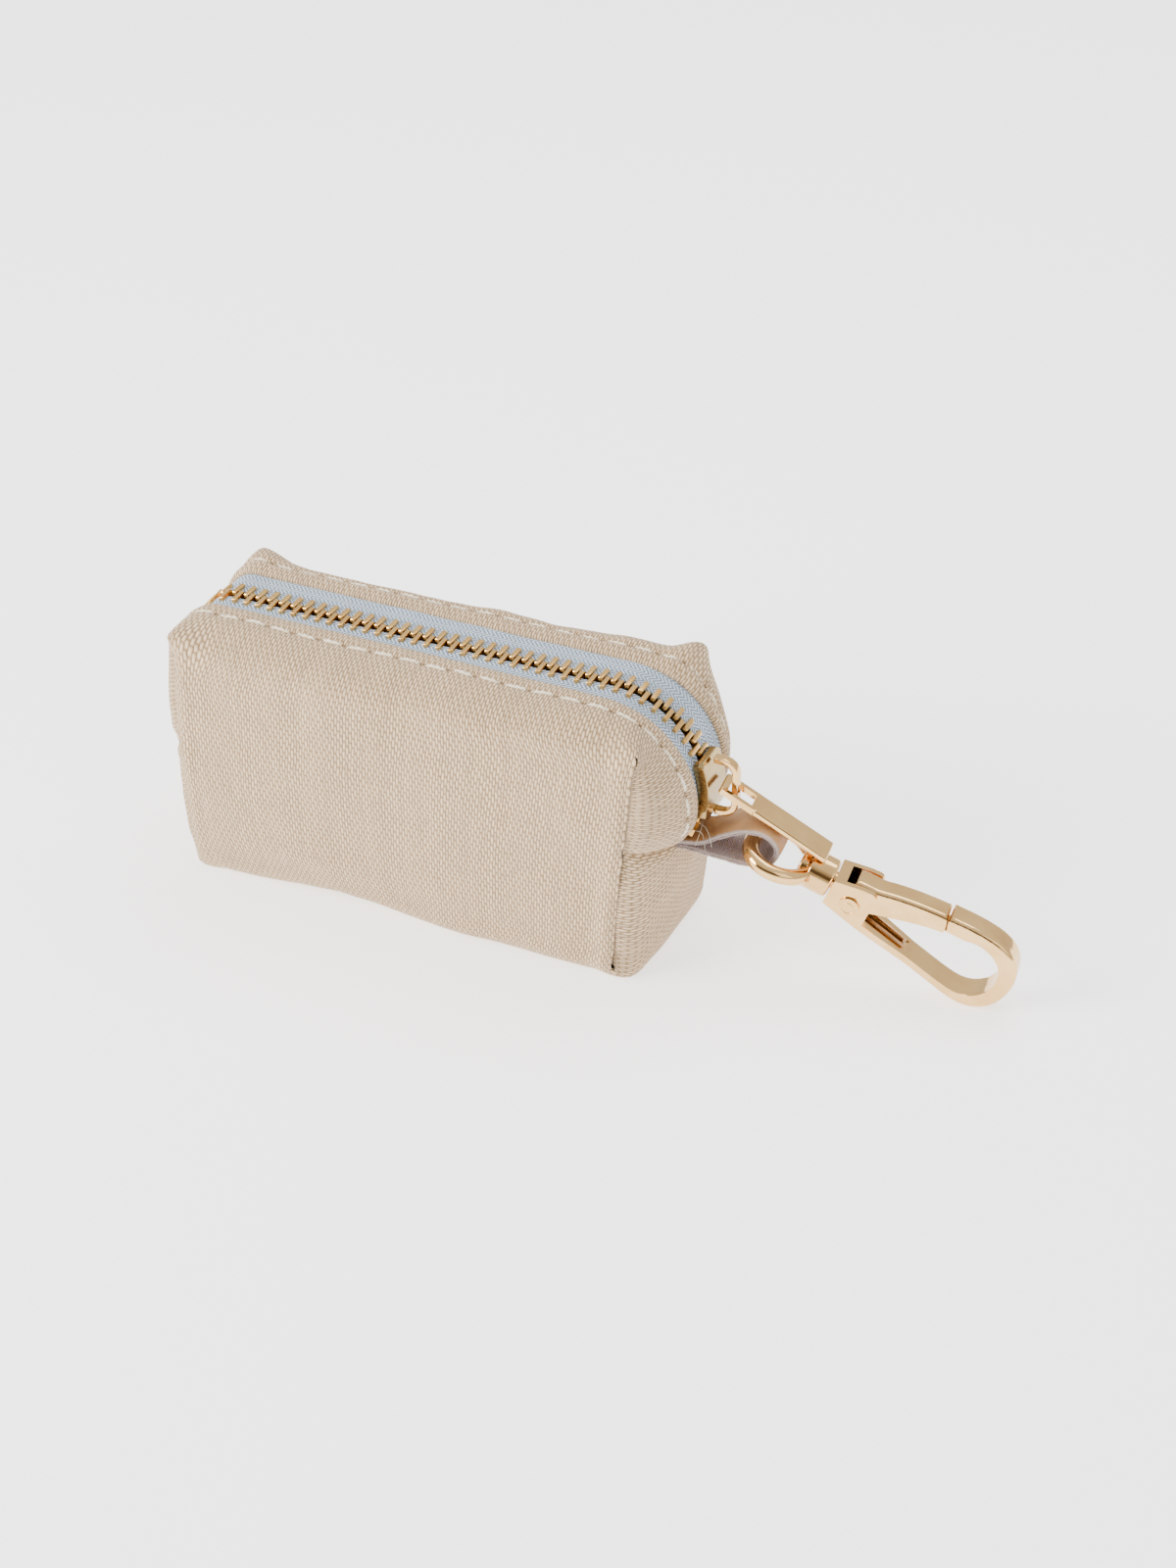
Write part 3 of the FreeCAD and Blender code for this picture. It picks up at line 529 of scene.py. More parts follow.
def shell(name, inset, roll, start):
    """The sewn body: two halves that meet on the base line, with turned edges beside the zipper."""
    sheet = Sheet()
    us_mid = graded(U_L, U_R, 0.5, 0.3, 0.3)
    us_right = graded(U_R, 71.8, 0.75, 0.35, 0.3)
    us_left = graded(U_L, -68.7, 0.75, 0.35, 0.3)
    us_low_r = graded(U_R, 69.0, 0.8, 0.35, 0.3)
    us_low_l = graded(U_L, -68.0, 0.8, 0.35, 0.3)
    patches = (("mid", us_mid), ("top", us_right), ("top", us_left), ("low", us_low_r), ("low", us_low_l))
    for side in (FRONT, BACK):
        for part, us in patches:
            vs, p = rows_at(side, us, part)
            if part != "low":
                p = open_front(p, vs, us, side)
            if inset:
                keep = [i for i, v in enumerate(vs) if v >= start] if part != "low" else range(len(vs))
                vs = [vs[i] for i in keep]
                p = shift_in(p[list(keep)], inset)
            flat = p.reshape(-1, 3)
            calm = np.repeat(np.clip(1.0 - np.array(vs) / 6.0, 0, 1), len(us)) if part != "low" else 0.0
            p = sculpt(flat, calm).reshape(p.shape) if not inset else p
            if part != "low" and not inset:
                p = stitch_groove(p, vs, us, side)
            p[:, :, 2] = np.maximum(p[:, :, 2], inset)
            uv = [[(u, v * side) for u in us] for v in vs]
            if roll and part != "low":
                extra, extra_uv = [], []
                normals = np.array([(path(u)[1][0], 0.0, path(u)[1][1]) for u in us])
                inward = np.array([0.0, -side, 0.0])
                extra.append(p[0] - normals * (2 * roll) - inward * 2.2)
                extra_uv.append([(u, -side * 3.6) for u in us])
                for a in (180, 150, 120, 90, 60, 30):
                    r = math.radians(a)
                    extra.append(p[0] + inward * roll * math.sin(r) - normals * roll * (1 - math.cos(r)))
                    extra_uv.append([(u, -side * roll * r) for u in us])
                p = np.concatenate([np.array(extra), p])
                uv = extra_uv + uv
            # Seam allowances turn inward beyond the corner and end seams
            first_is_left = us[0] < us[-1]
            if part == "mid" and not inset:
                below = np.array(vs)
                fade = np.clip((below - 13.0) / 4.0, 0, 1) * np.clip((60.0 - below) / 3.0, 0, 1)
                fade = np.concatenate([np.zeros(len(p) - len(vs)), fade])[:, None]
                lip_l = p[:, :1] + np.array([0.75, -0.65 * side, 0.0]) * (fade * 1.3)[:, :, None]
                lip_r = p[:, -1:] + np.array([-0.75, -0.65 * side, 0.0]) * (fade * 1.3)[:, :, None]
                p = np.concatenate([lip_l, p, lip_r], axis=1)
                uv = [[(row[0][0] - 1.3, row[0][1])] + row + [(row[-1][0] + 1.3, row[-1][1])] for row in uv]
            elif not inset:
                sign = 1.0 if us[-1] > 0 else -1.0
                lip = p[:, -1:] + np.array([-1.4 * sign, 0.0, 0.25 if part == "low" else -0.25])
                p = np.concatenate([p, lip], axis=1)
                uv = [row + [(row[-1][0] + 1.4 * sign, row[-1][1])] for row in uv]
            wrong = (side == FRONT) != first_is_left
            sheet.grid(p.tolist(), uv, flip=wrong)
    return sheet.build(name)


body = shell("pouch_canvas", 0.0, 0.45, 0.0)


# ---- materials

class Graph:
    """Small helper to write node formulas."""

    def __init__(self, name):
        self.mat = bpy.data.materials.new(name)
        self.mat.use_nodes = True
        self.tree = self.mat.node_tree
        self.tree.nodes.clear()
        self.out = self.tree.nodes.new("ShaderNodeOutputMaterial")
        self.bsdf = self.tree.nodes.new("ShaderNodeBsdfPrincipled")
        self.tree.links.new(self.bsdf.outputs[0], self.out.inputs[0])

    def put(self, socket, value):
        if hasattr(value, "is_output"):
            self.tree.links.new(value, socket)
        else:
            socket.default_value = value

    def math(self, op, a, b=0.0):
        n = self.tree.nodes.new("ShaderNodeMath")
        n.operation = op
        for i, v in enumerate((a, b)):
            self.put(n.inputs[i], v)
        return n.outputs[0]

    def add(self, a, b):
        return self.math("ADD", a, b)

    def sub(self, a, b):
        return self.math("SUBTRACT", a, b)

    def mul(self, a, b):
        return self.math("MULTIPLY", a, b)

    def div(self, a, b):
        return self.math("DIVIDE", a, b)

    def uv(self):
        n = self.tree.nodes.new("ShaderNodeUVMap")
        n.uv_map = "weave"
        s = self.tree.nodes.new("ShaderNodeSeparateXYZ")
        self.tree.links.new(n.outputs[0], s.inputs[0])
        return n.outputs[0], s.outputs[0], s.outputs[1]

    def position(self):
        n = self.tree.nodes.new("ShaderNodeTexCoord")
        return n.outputs["Object"]

    def noise(self, vector, scale, detail=2.0, rough=0.5):
        n = self.tree.nodes.new("ShaderNodeTexNoise")
        self.tree.links.new(vector, n.inputs["Vector"])
        n.inputs["Scale"].default_value = scale
        n.inputs["Detail"].default_value = detail
        n.inputs["Roughness"].default_value = rough
        return n.outputs["Fac"]

    def white(self, w):
        n = self.tree.nodes.new("ShaderNodeTexWhiteNoise")
        n.noise_dimensions = "1D"
        self.put(n.inputs["W"], w)
        return n.outputs["Value"]

    def combine(self, x, y, z=0.0):
        n = self.tree.nodes.new("ShaderNodeCombineXYZ")
        for i, v in enumerate((x, y, z)):
            self.put(n.inputs[i], v)
        return n.outputs[0]

    def ramp(self, fac, stops):
        n = self.tree.nodes.new("ShaderNodeValToRGB")
        self.tree.links.new(fac, n.inputs[0])
        e = n.color_ramp.elements
        while len(e) < len(stops):
            e.new(0.5)
        for el, (pos, col) in zip(e, stops):
            el.position = pos
            el.color = (*col, 1.0)
        return n.outputs[0]

    def mix(self, fac, a, b, mode="MIX"):
        n = self.tree.nodes.new("ShaderNodeMix")
        n.data_type = "RGBA"
        n.blend_type = mode
        self.put(n.inputs[0], fac)
        for i, v in ((6, a), (7, b)):
            self.put(n.inputs[i], v if hasattr(v, "is_output") else (*v, 1.0))
        return n.outputs[2]

    def bump(self, height, strength, distance):
        n = self.tree.nodes.new("ShaderNodeBump")
        n.inputs["Strength"].default_value = strength
        n.inputs["Distance"].default_value = distance
        self.tree.links.new(height, n.inputs["Height"])
        return n.outputs[0]

    def map_range(self, value, a, b, c, d):
        n = self.tree.nodes.new("ShaderNodeMapRange")
        self.tree.links.new(value, n.inputs[0])
        for i, v in enumerate((a, b, c, d)):
            n.inputs[i + 1].default_value = v
        return n.outputs[0]


def plain_weave(g, u, v, pitch_u, pitch_v, wobble_source, wobble):
    """Height, thread tone and a value per float, for close upright threads that ride over and under."""
    drift = g.noise(wobble_source, 0.5, 2.0)
    drift2 = g.noise(wobble_source, 0.43, 1.0, 0.4)
    uu = g.add(g.div(u, pitch_u), g.mul(g.sub(drift, 0.5), wobble))
    vv = g.add(g.div(v, pitch_v), g.mul(g.sub(drift2, 0.5), wobble))
    iu = g.math("FLOOR", uu)
    across = g.sub(g.math("FRACT", uu), 0.5)
    half = g.mul(g.add(vv, g.math("ABSOLUTE", g.math("MODULO", iu, 2.0))), 0.5)
    row = g.math("FLOOR", half)
    along = g.sub(g.math("FRACT", half), 0.5)
    lean = g.add(across, g.mul(along, 0.1))
    round_x = g.math("POWER", g.math("MAXIMUM", g.math("COSINE", g.mul(lean, math.pi)), 0.0), 0.75)
    round_y = g.math("POWER", g.math("MAXIMUM", g.math("COSINE", g.mul(along, math.pi)), 0.0), 0.8)
    height = g.mul(round_x, round_y)
    tone = g.white(iu)
    knot = g.white(g.add(g.mul(iu, 17.31), g.mul(row, 7.77)))
    return height, tone, knot


def canvas_material(name, base, dark, pitch=0.53, strength=1.0, holes=False):
    g = Graph(name)
    vec, u, v = g.uv()
    height, tone, knot = plain_weave(g, u, v, pitch, pitch * 1.75, vec, 0.8)
    fuzz = g.noise(vec, 9.0, 3.0, 0.65)
    slub = g.noise(vec, 0.9, 2.0)
    blotch = g.noise(vec, 0.09, 2.0)
    h = g.mul(height, g.add(0.72, g.mul(knot, 0.4)))
    h = g.add(h, g.mul(g.sub(fuzz, 0.5), 0.3))
    # Painted shade: the colour runs from the dark second colour in the low gaps between the threads up to the
    # base colour on the thread tops
    colour = g.ramp(g.add(height, g.mul(g.sub(fuzz, 0.5), 0.35)), [
        (0.0, dark), (0.42, tuple(0.55 * a + 0.45 * b for a, b in zip(base, dark))), (0.85, base),
    ])
    shade = g.add(0.86, g.add(g.mul(tone, 0.12), g.mul(slub, 0.12)))
    shade = g.mul(shade, g.add(0.96, g.mul(blotch, 0.1)))
    grey = g.combine(shade, shade, shade)
    colour = g.mix(1.0, colour, grey, "MULTIPLY")
    warm = g.mix(g.mul(g.math("GREATER_THAN", knot, 0.94), 0.4), colour, (0.50, 0.34, 0.19))
    if holes:
        # Needle holes at both ends of every topstitch, pressed into the bump and coloured dark brown as
        # painted shade in each hole
        turn = g.math("FRACT", g.div(g.add(u, 20 * STITCH_PITCH - STITCH_START), STITCH_PITCH))
        du = g.mul(g.sub(turn, HOLE_AT), STITCH_PITCH * 0.75)
        dv = g.sub(g.math("ABSOLUTE", v), STITCH_ROW)
        far = g.math("SQRT", g.add(g.mul(du, du), g.mul(dv, dv)))
        hole = g.map_range(far, 0.28, 0.62, 0.75, 0.0)
        warm = g.mix(hole, warm, (0.23, 0.125, 0.045))
        h = g.sub(h, g.mul(hole, 0.9))
    g.put(g.bsdf.inputs["Base Color"], warm)
    g.put(g.bsdf.inputs["Roughness"], g.map_range(fuzz, 0.3, 0.7, 0.82, 0.97))
    g.bsdf.inputs["Sheen Weight"].default_value = 0.25
    g.bsdf.inputs["Sheen Roughness"].default_value = 0.5
    g.bsdf.inputs["Specular IOR Level"].default_value = 0.25
    g.put(g.bsdf.inputs["Normal"], g.bump(h, strength, 0.00034))
    return g.mat


def tape_material():
    g = Graph("tape_herringbone")
    vec, u, v = g.uv()
    band = g.div(g.math("ABSOLUTE", v), 2.35)
    zig = g.math("ABSOLUTE", g.sub(g.math("FRACT", band), 0.5))
    ridge = g.add(g.div(u, 0.85), g.mul(zig, 2.8))
    wave = g.add(g.mul(g.math("SINE", g.mul(ridge, math.tau)), 0.5), 0.5)
    cross = g.add(g.mul(g.math("SINE", g.mul(v, math.tau / 0.42)), 0.5), 0.5)
    fuzz = g.noise(vec, 7.0, 3.0, 0.6)
    h = g.add(g.mul(wave, 0.95), g.add(g.mul(cross, 0.14), g.mul(fuzz, 0.3)))
    # Painted shade: the colour is darkest, a deep blue-grey, in the low grooves of the herringbone
    colour = g.ramp(g.mul(h, 0.72), [
        (0.2, (0.12, 0.20, 0.32)), (0.45, (0.40, 0.52, 0.66)), (0.8, (0.70, 0.79, 0.90)),
    ])
    slub = g.noise(vec, 0.3, 2.0)
    shade = g.add(0.93, g.mul(slub, 0.12))
    colour = g.mix(1.0, colour, g.combine(shade, shade, shade), "MULTIPLY")
    g.put(g.bsdf.inputs["Base Color"], colour)
    g.put(g.bsdf.inputs["Roughness"], g.map_range(fuzz, 0.3, 0.7, 0.6, 0.8))
    g.bsdf.inputs["Sheen Weight"].default_value = 0.35
    g.bsdf.inputs["Specular IOR Level"].default_value = 0.35
    g.put(g.bsdf.inputs["Normal"], g.bump(h, 1.0, 0.0003))
    return g.mat


def metal_material(name, base, tint, rough, grain):
    g = Graph(name)
    pos = g.position()
    cloud = g.noise(pos, 160.0, 3.0, 0.55)
    fine = g.noise(pos, 1400.0, 2.0, 0.6)
    colour = g.mix(g.map_range(cloud, 0.35, 0.7, 0.0, 0.8), base, tint)
    g.put(g.bsdf.inputs["Base Color"], colour)
    g.bsdf.inputs["Metallic"].default_value = 1.0
    r = g.add(g.map_range(cloud, 0.3, 0.75, rough * 0.75, rough * 1.35), g.mul(fine, rough * 0.3))
    g.put(g.bsdf.inputs["Roughness"], r)
    h = g.add(g.mul(cloud, 0.8), g.mul(fine, 0.12))
    g.put(g.bsdf.inputs["Normal"], g.bump(h, grain, 0.00012))
    return g.mat


def leather_material():
    g = Graph("strap_tan")
    pos = g.position()
    n = g.tree.nodes.new("ShaderNodeTexVoronoi")
    n.feature = "F1"
    n.inputs["Scale"].default_value = 2300.0
    g.tree.links.new(pos, n.inputs["Vector"])
    cell = n.outputs["Distance"]
    fine = g.noise(pos, 900.0, 4.0, 0.6)
    cloud = g.noise(pos, 130.0, 2.0)
    colour = g.mix(g.map_range(cloud, 0.3, 0.7, 0.0, 1.0), (0.52, 0.285, 0.125), (0.40, 0.20, 0.075))
    colour = g.mix(g.mul(fine, 0.45), colour, (0.60, 0.36, 0.18))
    g.put(g.bsdf.inputs["Base Color"], colour)
    g.put(g.bsdf.inputs["Roughness"], g.map_range(fine, 0.3, 0.7, 0.42, 0.6))
    h = g.add(g.mul(cell, 0.6), g.mul(fine, 0.6))
    g.put(g.bsdf.inputs["Normal"], g.bump(h, 0.55, 0.00012))
    return g.mat


def thread_material():
    g = Graph("thread_cream")
    pos = g.position()
    fine = g.noise(pos, 2600.0, 3.0, 0.6)
    cloud = g.noise(pos, 220.0, 2.0)
    colour = g.mix(g.map_range(cloud, 0.3, 0.7, 0.0, 1.0), (0.84, 0.73, 0.52), (0.96, 0.89, 0.72))
    g.put(g.bsdf.inputs["Base Color"], colour)
    g.put(g.bsdf.inputs["Roughness"], g.map_range(fine, 0.3, 0.7, 0.5, 0.7))
    g.bsdf.inputs["Sheen Weight"].default_value = 0.3
    g.put(g.bsdf.inputs["Normal"], g.bump(fine, 0.6, 0.00006))
    return g.mat


# The second colour given to canvas_material is painted shade for the gaps between the threads
CANVAS = canvas_material("canvas_natural", (0.85, 0.625, 0.385), (0.26, 0.145, 0.06), holes=True)
LINING = canvas_material("lining_fine", (0.74, 0.70, 0.62), (0.45, 0.41, 0.34), 0.3, 0.6)
BACKING = canvas_material("backing_fine", (0.52, 0.41, 0.40), (0.30, 0.22, 0.22), 0.3, 0.7)
TAPE = tape_material()
LEATHER = leather_material()
THREAD = thread_material()
RAW_EDGE = canvas_material("raw_edge", (0.66, 0.52, 0.46), (0.42, 0.31, 0.27), 0.22, 0.8)
PLATE = metal_material("plate_pale_gold", (0.83, 0.535, 0.225), (0.68, 0.40, 0.145), 0.10, 0.4)
BRASS = metal_material("zip_brass", (0.80, 0.50, 0.17), (0.60, 0.33, 0.09), 0.22, 0.35)
SHADED = metal_material("plate_shaded", (0.42, 0.30, 0.13), (0.30, 0.19, 0.07), 0.16, 0.3)
SPRING = metal_material("spring_wire", (0.62, 0.42, 0.24), (0.45, 0.27, 0.13), 0.3, 0.2)


def dress(ob, material):
    ob.data.materials.clear()
    ob.data.materials.append(material)
    return ob


# The pouch body
solidify(body, 0.34)
dress(body, CANVAS)
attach(body, "pouch")
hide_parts("canvas_body")

inner = shell("pouch_lining", 1.75, 0.0, 1.6)
solidify(inner, 0.35)
dress(inner, LINING)
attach(inner, "pouch")
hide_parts("lining")


# ---- zipper

SPREAD, SPREAD_FROM, SPREAD_TO = 1.35, 8.0, -5.0


def spread(u):
    """How far each half of the zipper stands off its middle at path length u."""
    angle = 90.0 - math.degrees(max(0.0, u - ARC_X) / ARC_R)
    if angle >= SPREAD_FROM:
        return 0.0
    t = min(1.0, (SPREAD_FROM - angle) / (SPREAD_FROM - SPREAD_TO))
    return SPREAD * t * t * (3 - 2 * t)


def tape_piece(side):
    sheet = Sheet()
    us = graded(-67.6, 70.4, 0.6)
    far = FOLD[side] + (2.6 if side == FRONT else 1.7)
    points, uvs = [], []
    for f in np.linspace(0.0, 1.0, 22):
        row, row_uv = [], []
        for u in us:
            (x, z), (nx, nz) = path(u)
            y0 = 1.2 + spread(u) + (0.28 if 0 < spread(u) < SPREAD else 0.0)
            y = y0 + (far - y0) * f
            wave = noise.noise(Vector((u * 0.11, side * 7.0, y * 0.2))) * 0.30
            wave *= math.sin(math.pi * min(1.0, f * 1.15))
            sag = 0.18 * math.sin(math.pi * f)
            depth = 0.96 + sag - wave
            squeeze = max(0.0, (u - 66.0) / 4.4) ** 2 * 2.4 + max(0.0, (-64.2 - u) / 3.4) ** 2 * 1.6
            row.append((x - nx * depth - math.copysign(squeeze, x), side * y, z - nz * depth))
            row_uv.append((u, side * y))
        points.append(row)
        uvs.append(row_uv)
    sheet.grid(points, uvs, flip=(side == BACK))
    ob = sheet.build("tape_front" if side == FRONT else "tape_rear")
    solidify(ob, 0.42)
    dress(ob, TAPE)
    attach(ob, "pouch")
    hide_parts("zip_tape_front" if side == FRONT else "zip_tape_back")
    return ob


for which in (FRONT, BACK):
    tape_piece(which)


def tooth_mesh():
    """One tooth: two arms that grip the tape, and a rounded head with its boss."""
    bm = bmesh.new()
    profile = [
        (-1.2, -0.4), (-0.95, -0.52), (0.95, -0.52), (1.2, -0.4), (1.2, 2.7), (1.06, 2.84), (0.34, 2.84),
        (0.30, 1.16), (-0.30, 1.16), (-0.34, 2.84), (-1.06, 2.84), (-1.2, 2.7),
    ]
    lower = [bm.verts.new((x, y, -0.43)) for x, y in profile]
    face = bm.faces.new(lower)
    grown = bmesh.ops.extrude_face_region(bm, geom=[face])
    upper = [v for v in grown["geom"] if isinstance(v, bmesh.types.BMVert)]
    bmesh.ops.translate(bm, verts=upper, vec=(0, 0, 0.86))
    bmesh.ops.recalc_face_normals(bm, faces=bm.faces)
    sharp = [e for e in bm.edges if e.calc_face_angle(0) > 0.6]
    bmesh.ops.bevel(bm, geom=sharp, offset=0.11, segments=2, affect="EDGES", profile=0.6)
    boss = bmesh.ops.create_uvsphere(bm, u_segments=12, v_segments=8, radius=1.0)
    for v in boss["verts"]:
        v.co = Vector((v.co.x * 0.84, v.co.y * 0.34 - 0.22, v.co.z * 0.5))
    verts = np.array([v.co[:] for v in bm.verts])
    bm.verts.index_update()
    faces = [[v.index for v in f.verts] for f in bm.faces]
    bm.free()
    return verts, faces


TOOTH_V, TOOTH_F = tooth_mesh()
PITCH = 2.4


def chain(side):
    """Every tooth of one side, on the same centres as the CAD teeth."""
    verts, faces = [], []
    mid = 1.15
    start = ARC_X + ARC_R * math.radians(90 + 15.0)
    r_mid = ARC_R - mid
    l_mid = LEFT_R - mid
    right_len = r_mid * math.radians(105.0)
    top_len = ARC_X - LEFT_X
    left_len = l_mid * math.pi / 2
    total = right_len + top_len + left_len + TOP_Z - LEFT_R - 26.0 - 4.5
    for i in range(0 if side == BACK else 1, int(total / (PITCH / 2)), 2):
        s = i * PITCH / 2
        if s < right_len:
            u = ARC_X + (right_len - s) / r_mid * ARC_R
        elif s < right_len + top_len:
            u = ARC_X - (s - right_len)
        elif s < right_len + top_len + left_len:
            u = LEFT_X - (s - right_len - top_len) / l_mid * LEFT_R
        else:
            u = LEFT_X - LEFT_R * math.pi / 2 - (s - right_len - top_len - left_len)
        (x, z), (nx, nz) = path(u)
        n = np.array([nx, 0.0, nz])
        along = np.array([-nz, 0.0, nx])
        tilt = 0.012 * math.sin(i * 12.9898)
        centre = np.array([x, 0, z]) - n * mid + np.array([0, side * spread(u), 0])
        along = along * math.cos(tilt) + np.array([0, side, 0]) * math.sin(tilt)
        y_axis = np.array([0.0, side, 0.0])
        local = TOOTH_V
        pts = centre + np.outer(local[:, 0], n) + np.outer(local[:, 1], y_axis) + np.outer(local[:, 2], along)
        base = len(verts)
        verts.extend(pts.tolist())
        for f in TOOTH_F:
            f = [base + k for k in f]
            faces.append(f if side == BACK else f[::-1])
    ob = mesh_object("teeth_row_front" if side == FRONT else "teeth_row_rear", verts, faces)
    face_outward(ob)
    smooth_by_angle(ob, 40)
    dress(ob, BRASS)
    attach(ob, "pouch")
    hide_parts("teeth_front" if side == FRONT else "teeth_back")
    return ob


def smooth_by_angle(ob, degrees):
    me = ob.data
    me.polygons.foreach_set("use_smooth", [True] * len(me.polygons))
    bm = bmesh.new()
    bm.from_mesh(me)
    limit = math.radians(degrees)
    for e in bm.edges:
        e.smooth = len(e.link_faces) == 2 and e.calc_face_angle(0.0) < limit
    bm.to_mesh(me)
    bm.free()


for which in (FRONT, BACK):
    chain(which)


# ---- topstitches

def tube(points, radii, segments=8):
    """Round tube through points, closed at both ends."""
    points = np.array(points)
    tangents = np.gradient(points, axis=0)
    tangents = unit(tangents)
    up = np.array([0.13, 0.97, 0.21])
    verts, faces = [], []
    for p, t, r in zip(points, tangents, radii):
        a = np.cross(t, up)
        a /= np.linalg.norm(a)
        b = np.cross(t, a)
        for k in range(segments):
            w = math.tau * k / segments
            verts.append(p + (a * math.cos(w) + b * math.sin(w)) * r)
    n = len(points)
    for i in range(n - 1):
        for k in range(segments):
            j = (k + 1) % segments
            faces.append((i * segments + k, i * segments + j, (i + 1) * segments + j, (i + 1) * segments + k))
    faces.append(tuple(range(segments))[::-1])
    faces.append(tuple((n - 1) * segments + k for k in range(segments)))
    return verts, faces


def stitch_piece(side):
    verts, faces = [], []
    u = STITCH_START
    index = 0
    while u < 66.0:
        us = np.linspace(u, u + STITCH_LENGTH, 25)
        wander = 0.12 * math.sin(index * 2.3)
        line = open_front(row_curve(side, 1, us)[None], [STITCH_ROW], us, side)[0]
        centre = sculpt(line, 0.53)
        normal = outward(centre)
        path_n = np.array([(path(k)[1][0], 0.0, path(k)[1][1]) for k in us])
        normal = normal * 0.35 + path_n * 0.65
        normal = unit(normal)
        f = np.linspace(0, 1, len(us))
        sink = 0.06 if side == FRONT else 0.42
        lift = 0.26 * np.sin(np.pi * f) ** 0.5 - 0.5 * (1 - np.sin(np.pi * f)) ** 5 - sink
        centre = centre + normal * lift[:, None]
        centre[:, 1] += side * (wander + 0.1 * np.sin(f * 5.0 + index))
        tang = np.gradient(centre, axis=0)
        tang = unit(tang)
        binormal = np.cross(tang, normal)
        for ply in (0.0, math.pi):
            w = ply + f * math.tau * 1.7 + index
            strand = centre + (normal * np.cos(w)[:, None] * 0.7 + binormal * np.sin(w)[:, None]) * 0.16
            radii = 0.18 * (0.55 + 0.45 * np.sin(np.pi * f) ** 0.4)
            v, fc = tube(strand, radii)
            base = len(verts)
            verts.extend(v)
            faces.extend([tuple(base + k for k in face) for face in fc])
        u += STITCH_PITCH
        index += 1
    ob = mesh_object("stitches_front" if side == FRONT else "stitches_rear", verts, faces)
    dress(ob, THREAD)
    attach(ob, "pouch")
    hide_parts("topstitch_front" if side == FRONT else "topstitch_back")
    return ob


for which in (FRONT, BACK):
    stitch_piece(which)


# ---- inner allowances

def soft_block(name, low, high, material):
    """Padded strip of cloth filling a box, with rounded edges and an uneven surface."""
    low, high = np.array(low), np.array(high)
    bm = bmesh.new()
    bmesh.ops.create_cube(bm, size=2.0)
    bmesh.ops.subdivide_edges(bm, edges=bm.edges, cuts=9, use_grid_fill=True)
    uv_layer = bm.loops.layers.uv.new("weave")
    mid, half = (low + high) / 2, (high - low) / 2
    for v in bm.verts:
        q = np.array(v.co)
        k = np.max(np.abs(q))
        q = q / (np.sum(np.abs(q) ** 7) ** (1 / 7)) * k
        p = mid + q * half
        p = p + (q / max(1e-6, np.linalg.norm(q))) * noise.noise(Vector(p) * 0.6) * 0.18
        v.co = Vector(p)
    for face in bm.faces:
        axis = int(np.argmax(np.abs(np.array(face.normal))))
        for loop in face.loops:
            c = loop.vert.co
            loop[uv_layer].uv = [(c.y, c.z), (c.x, c.z), (c.x, c.y)][axis]
    for v in bm.verts:
        v.co *= MM
    me = bpy.data.meshes.new(name)
    bm.to_mesh(me)
    bm.free()
    me.polygons.foreach_set("use_smooth", [True] * len(me.polygons))
    ob = bpy.data.objects.new(name, me)
    link(ob)
    return dress(ob, material)


def node_box(name):
    low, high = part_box(name)
    return np.array(low) / MM, np.array(high) / MM


for label, node in (("binding_right", "seam_binding_right"), ("binding_left", "seam_binding_left")):
    lo, hi = node_box(node)
    if label == "binding_right":
        hi = hi - np.array([3.4, 0, 0])
    strip = soft_block(label, lo, hi, LINING)
    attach(strip, "pouch")
    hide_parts(node)

TAB_T, TAB_W = 1.4, 3.8
lo, hi = node_box("corner_allowances")
tabs = []
for x0 in (lo[0], hi[0] - TAB_T):
    for y0 in (lo[1], hi[1] - TAB_W):
        low, high = (x0, y0, lo[2]), (x0 + TAB_T, y0 + TAB_W, hi[2])
        tabs.append(soft_block(f"corner_tab_{len(tabs)}", low, high, LINING))
for tab in tabs:
    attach(tab, "pouch")
    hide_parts("corner_allowances")


# ---- leather loop

YAW = math.radians(5.5)
OUT = np.array([math.cos(YAW), math.sin(YAW), 0.0])
SIDE = np.array([-math.sin(YAW), math.cos(YAW), 0.0])
PIVOT_X = 55.65
LOOP = [
    (46.8, 25.3), (50.0, 25.3), (52.3, 25.75), (55.8, 27.9), (60.0, 29.8), (63.3, 30.0), (65.8, 28.6),
    (66.8, 26.2), (65.9, 23.8), (63.3, 22.3), (60.0, 22.0), (55.5, 22.5), (51.0, 23.1), (46.8, 23.2),
]


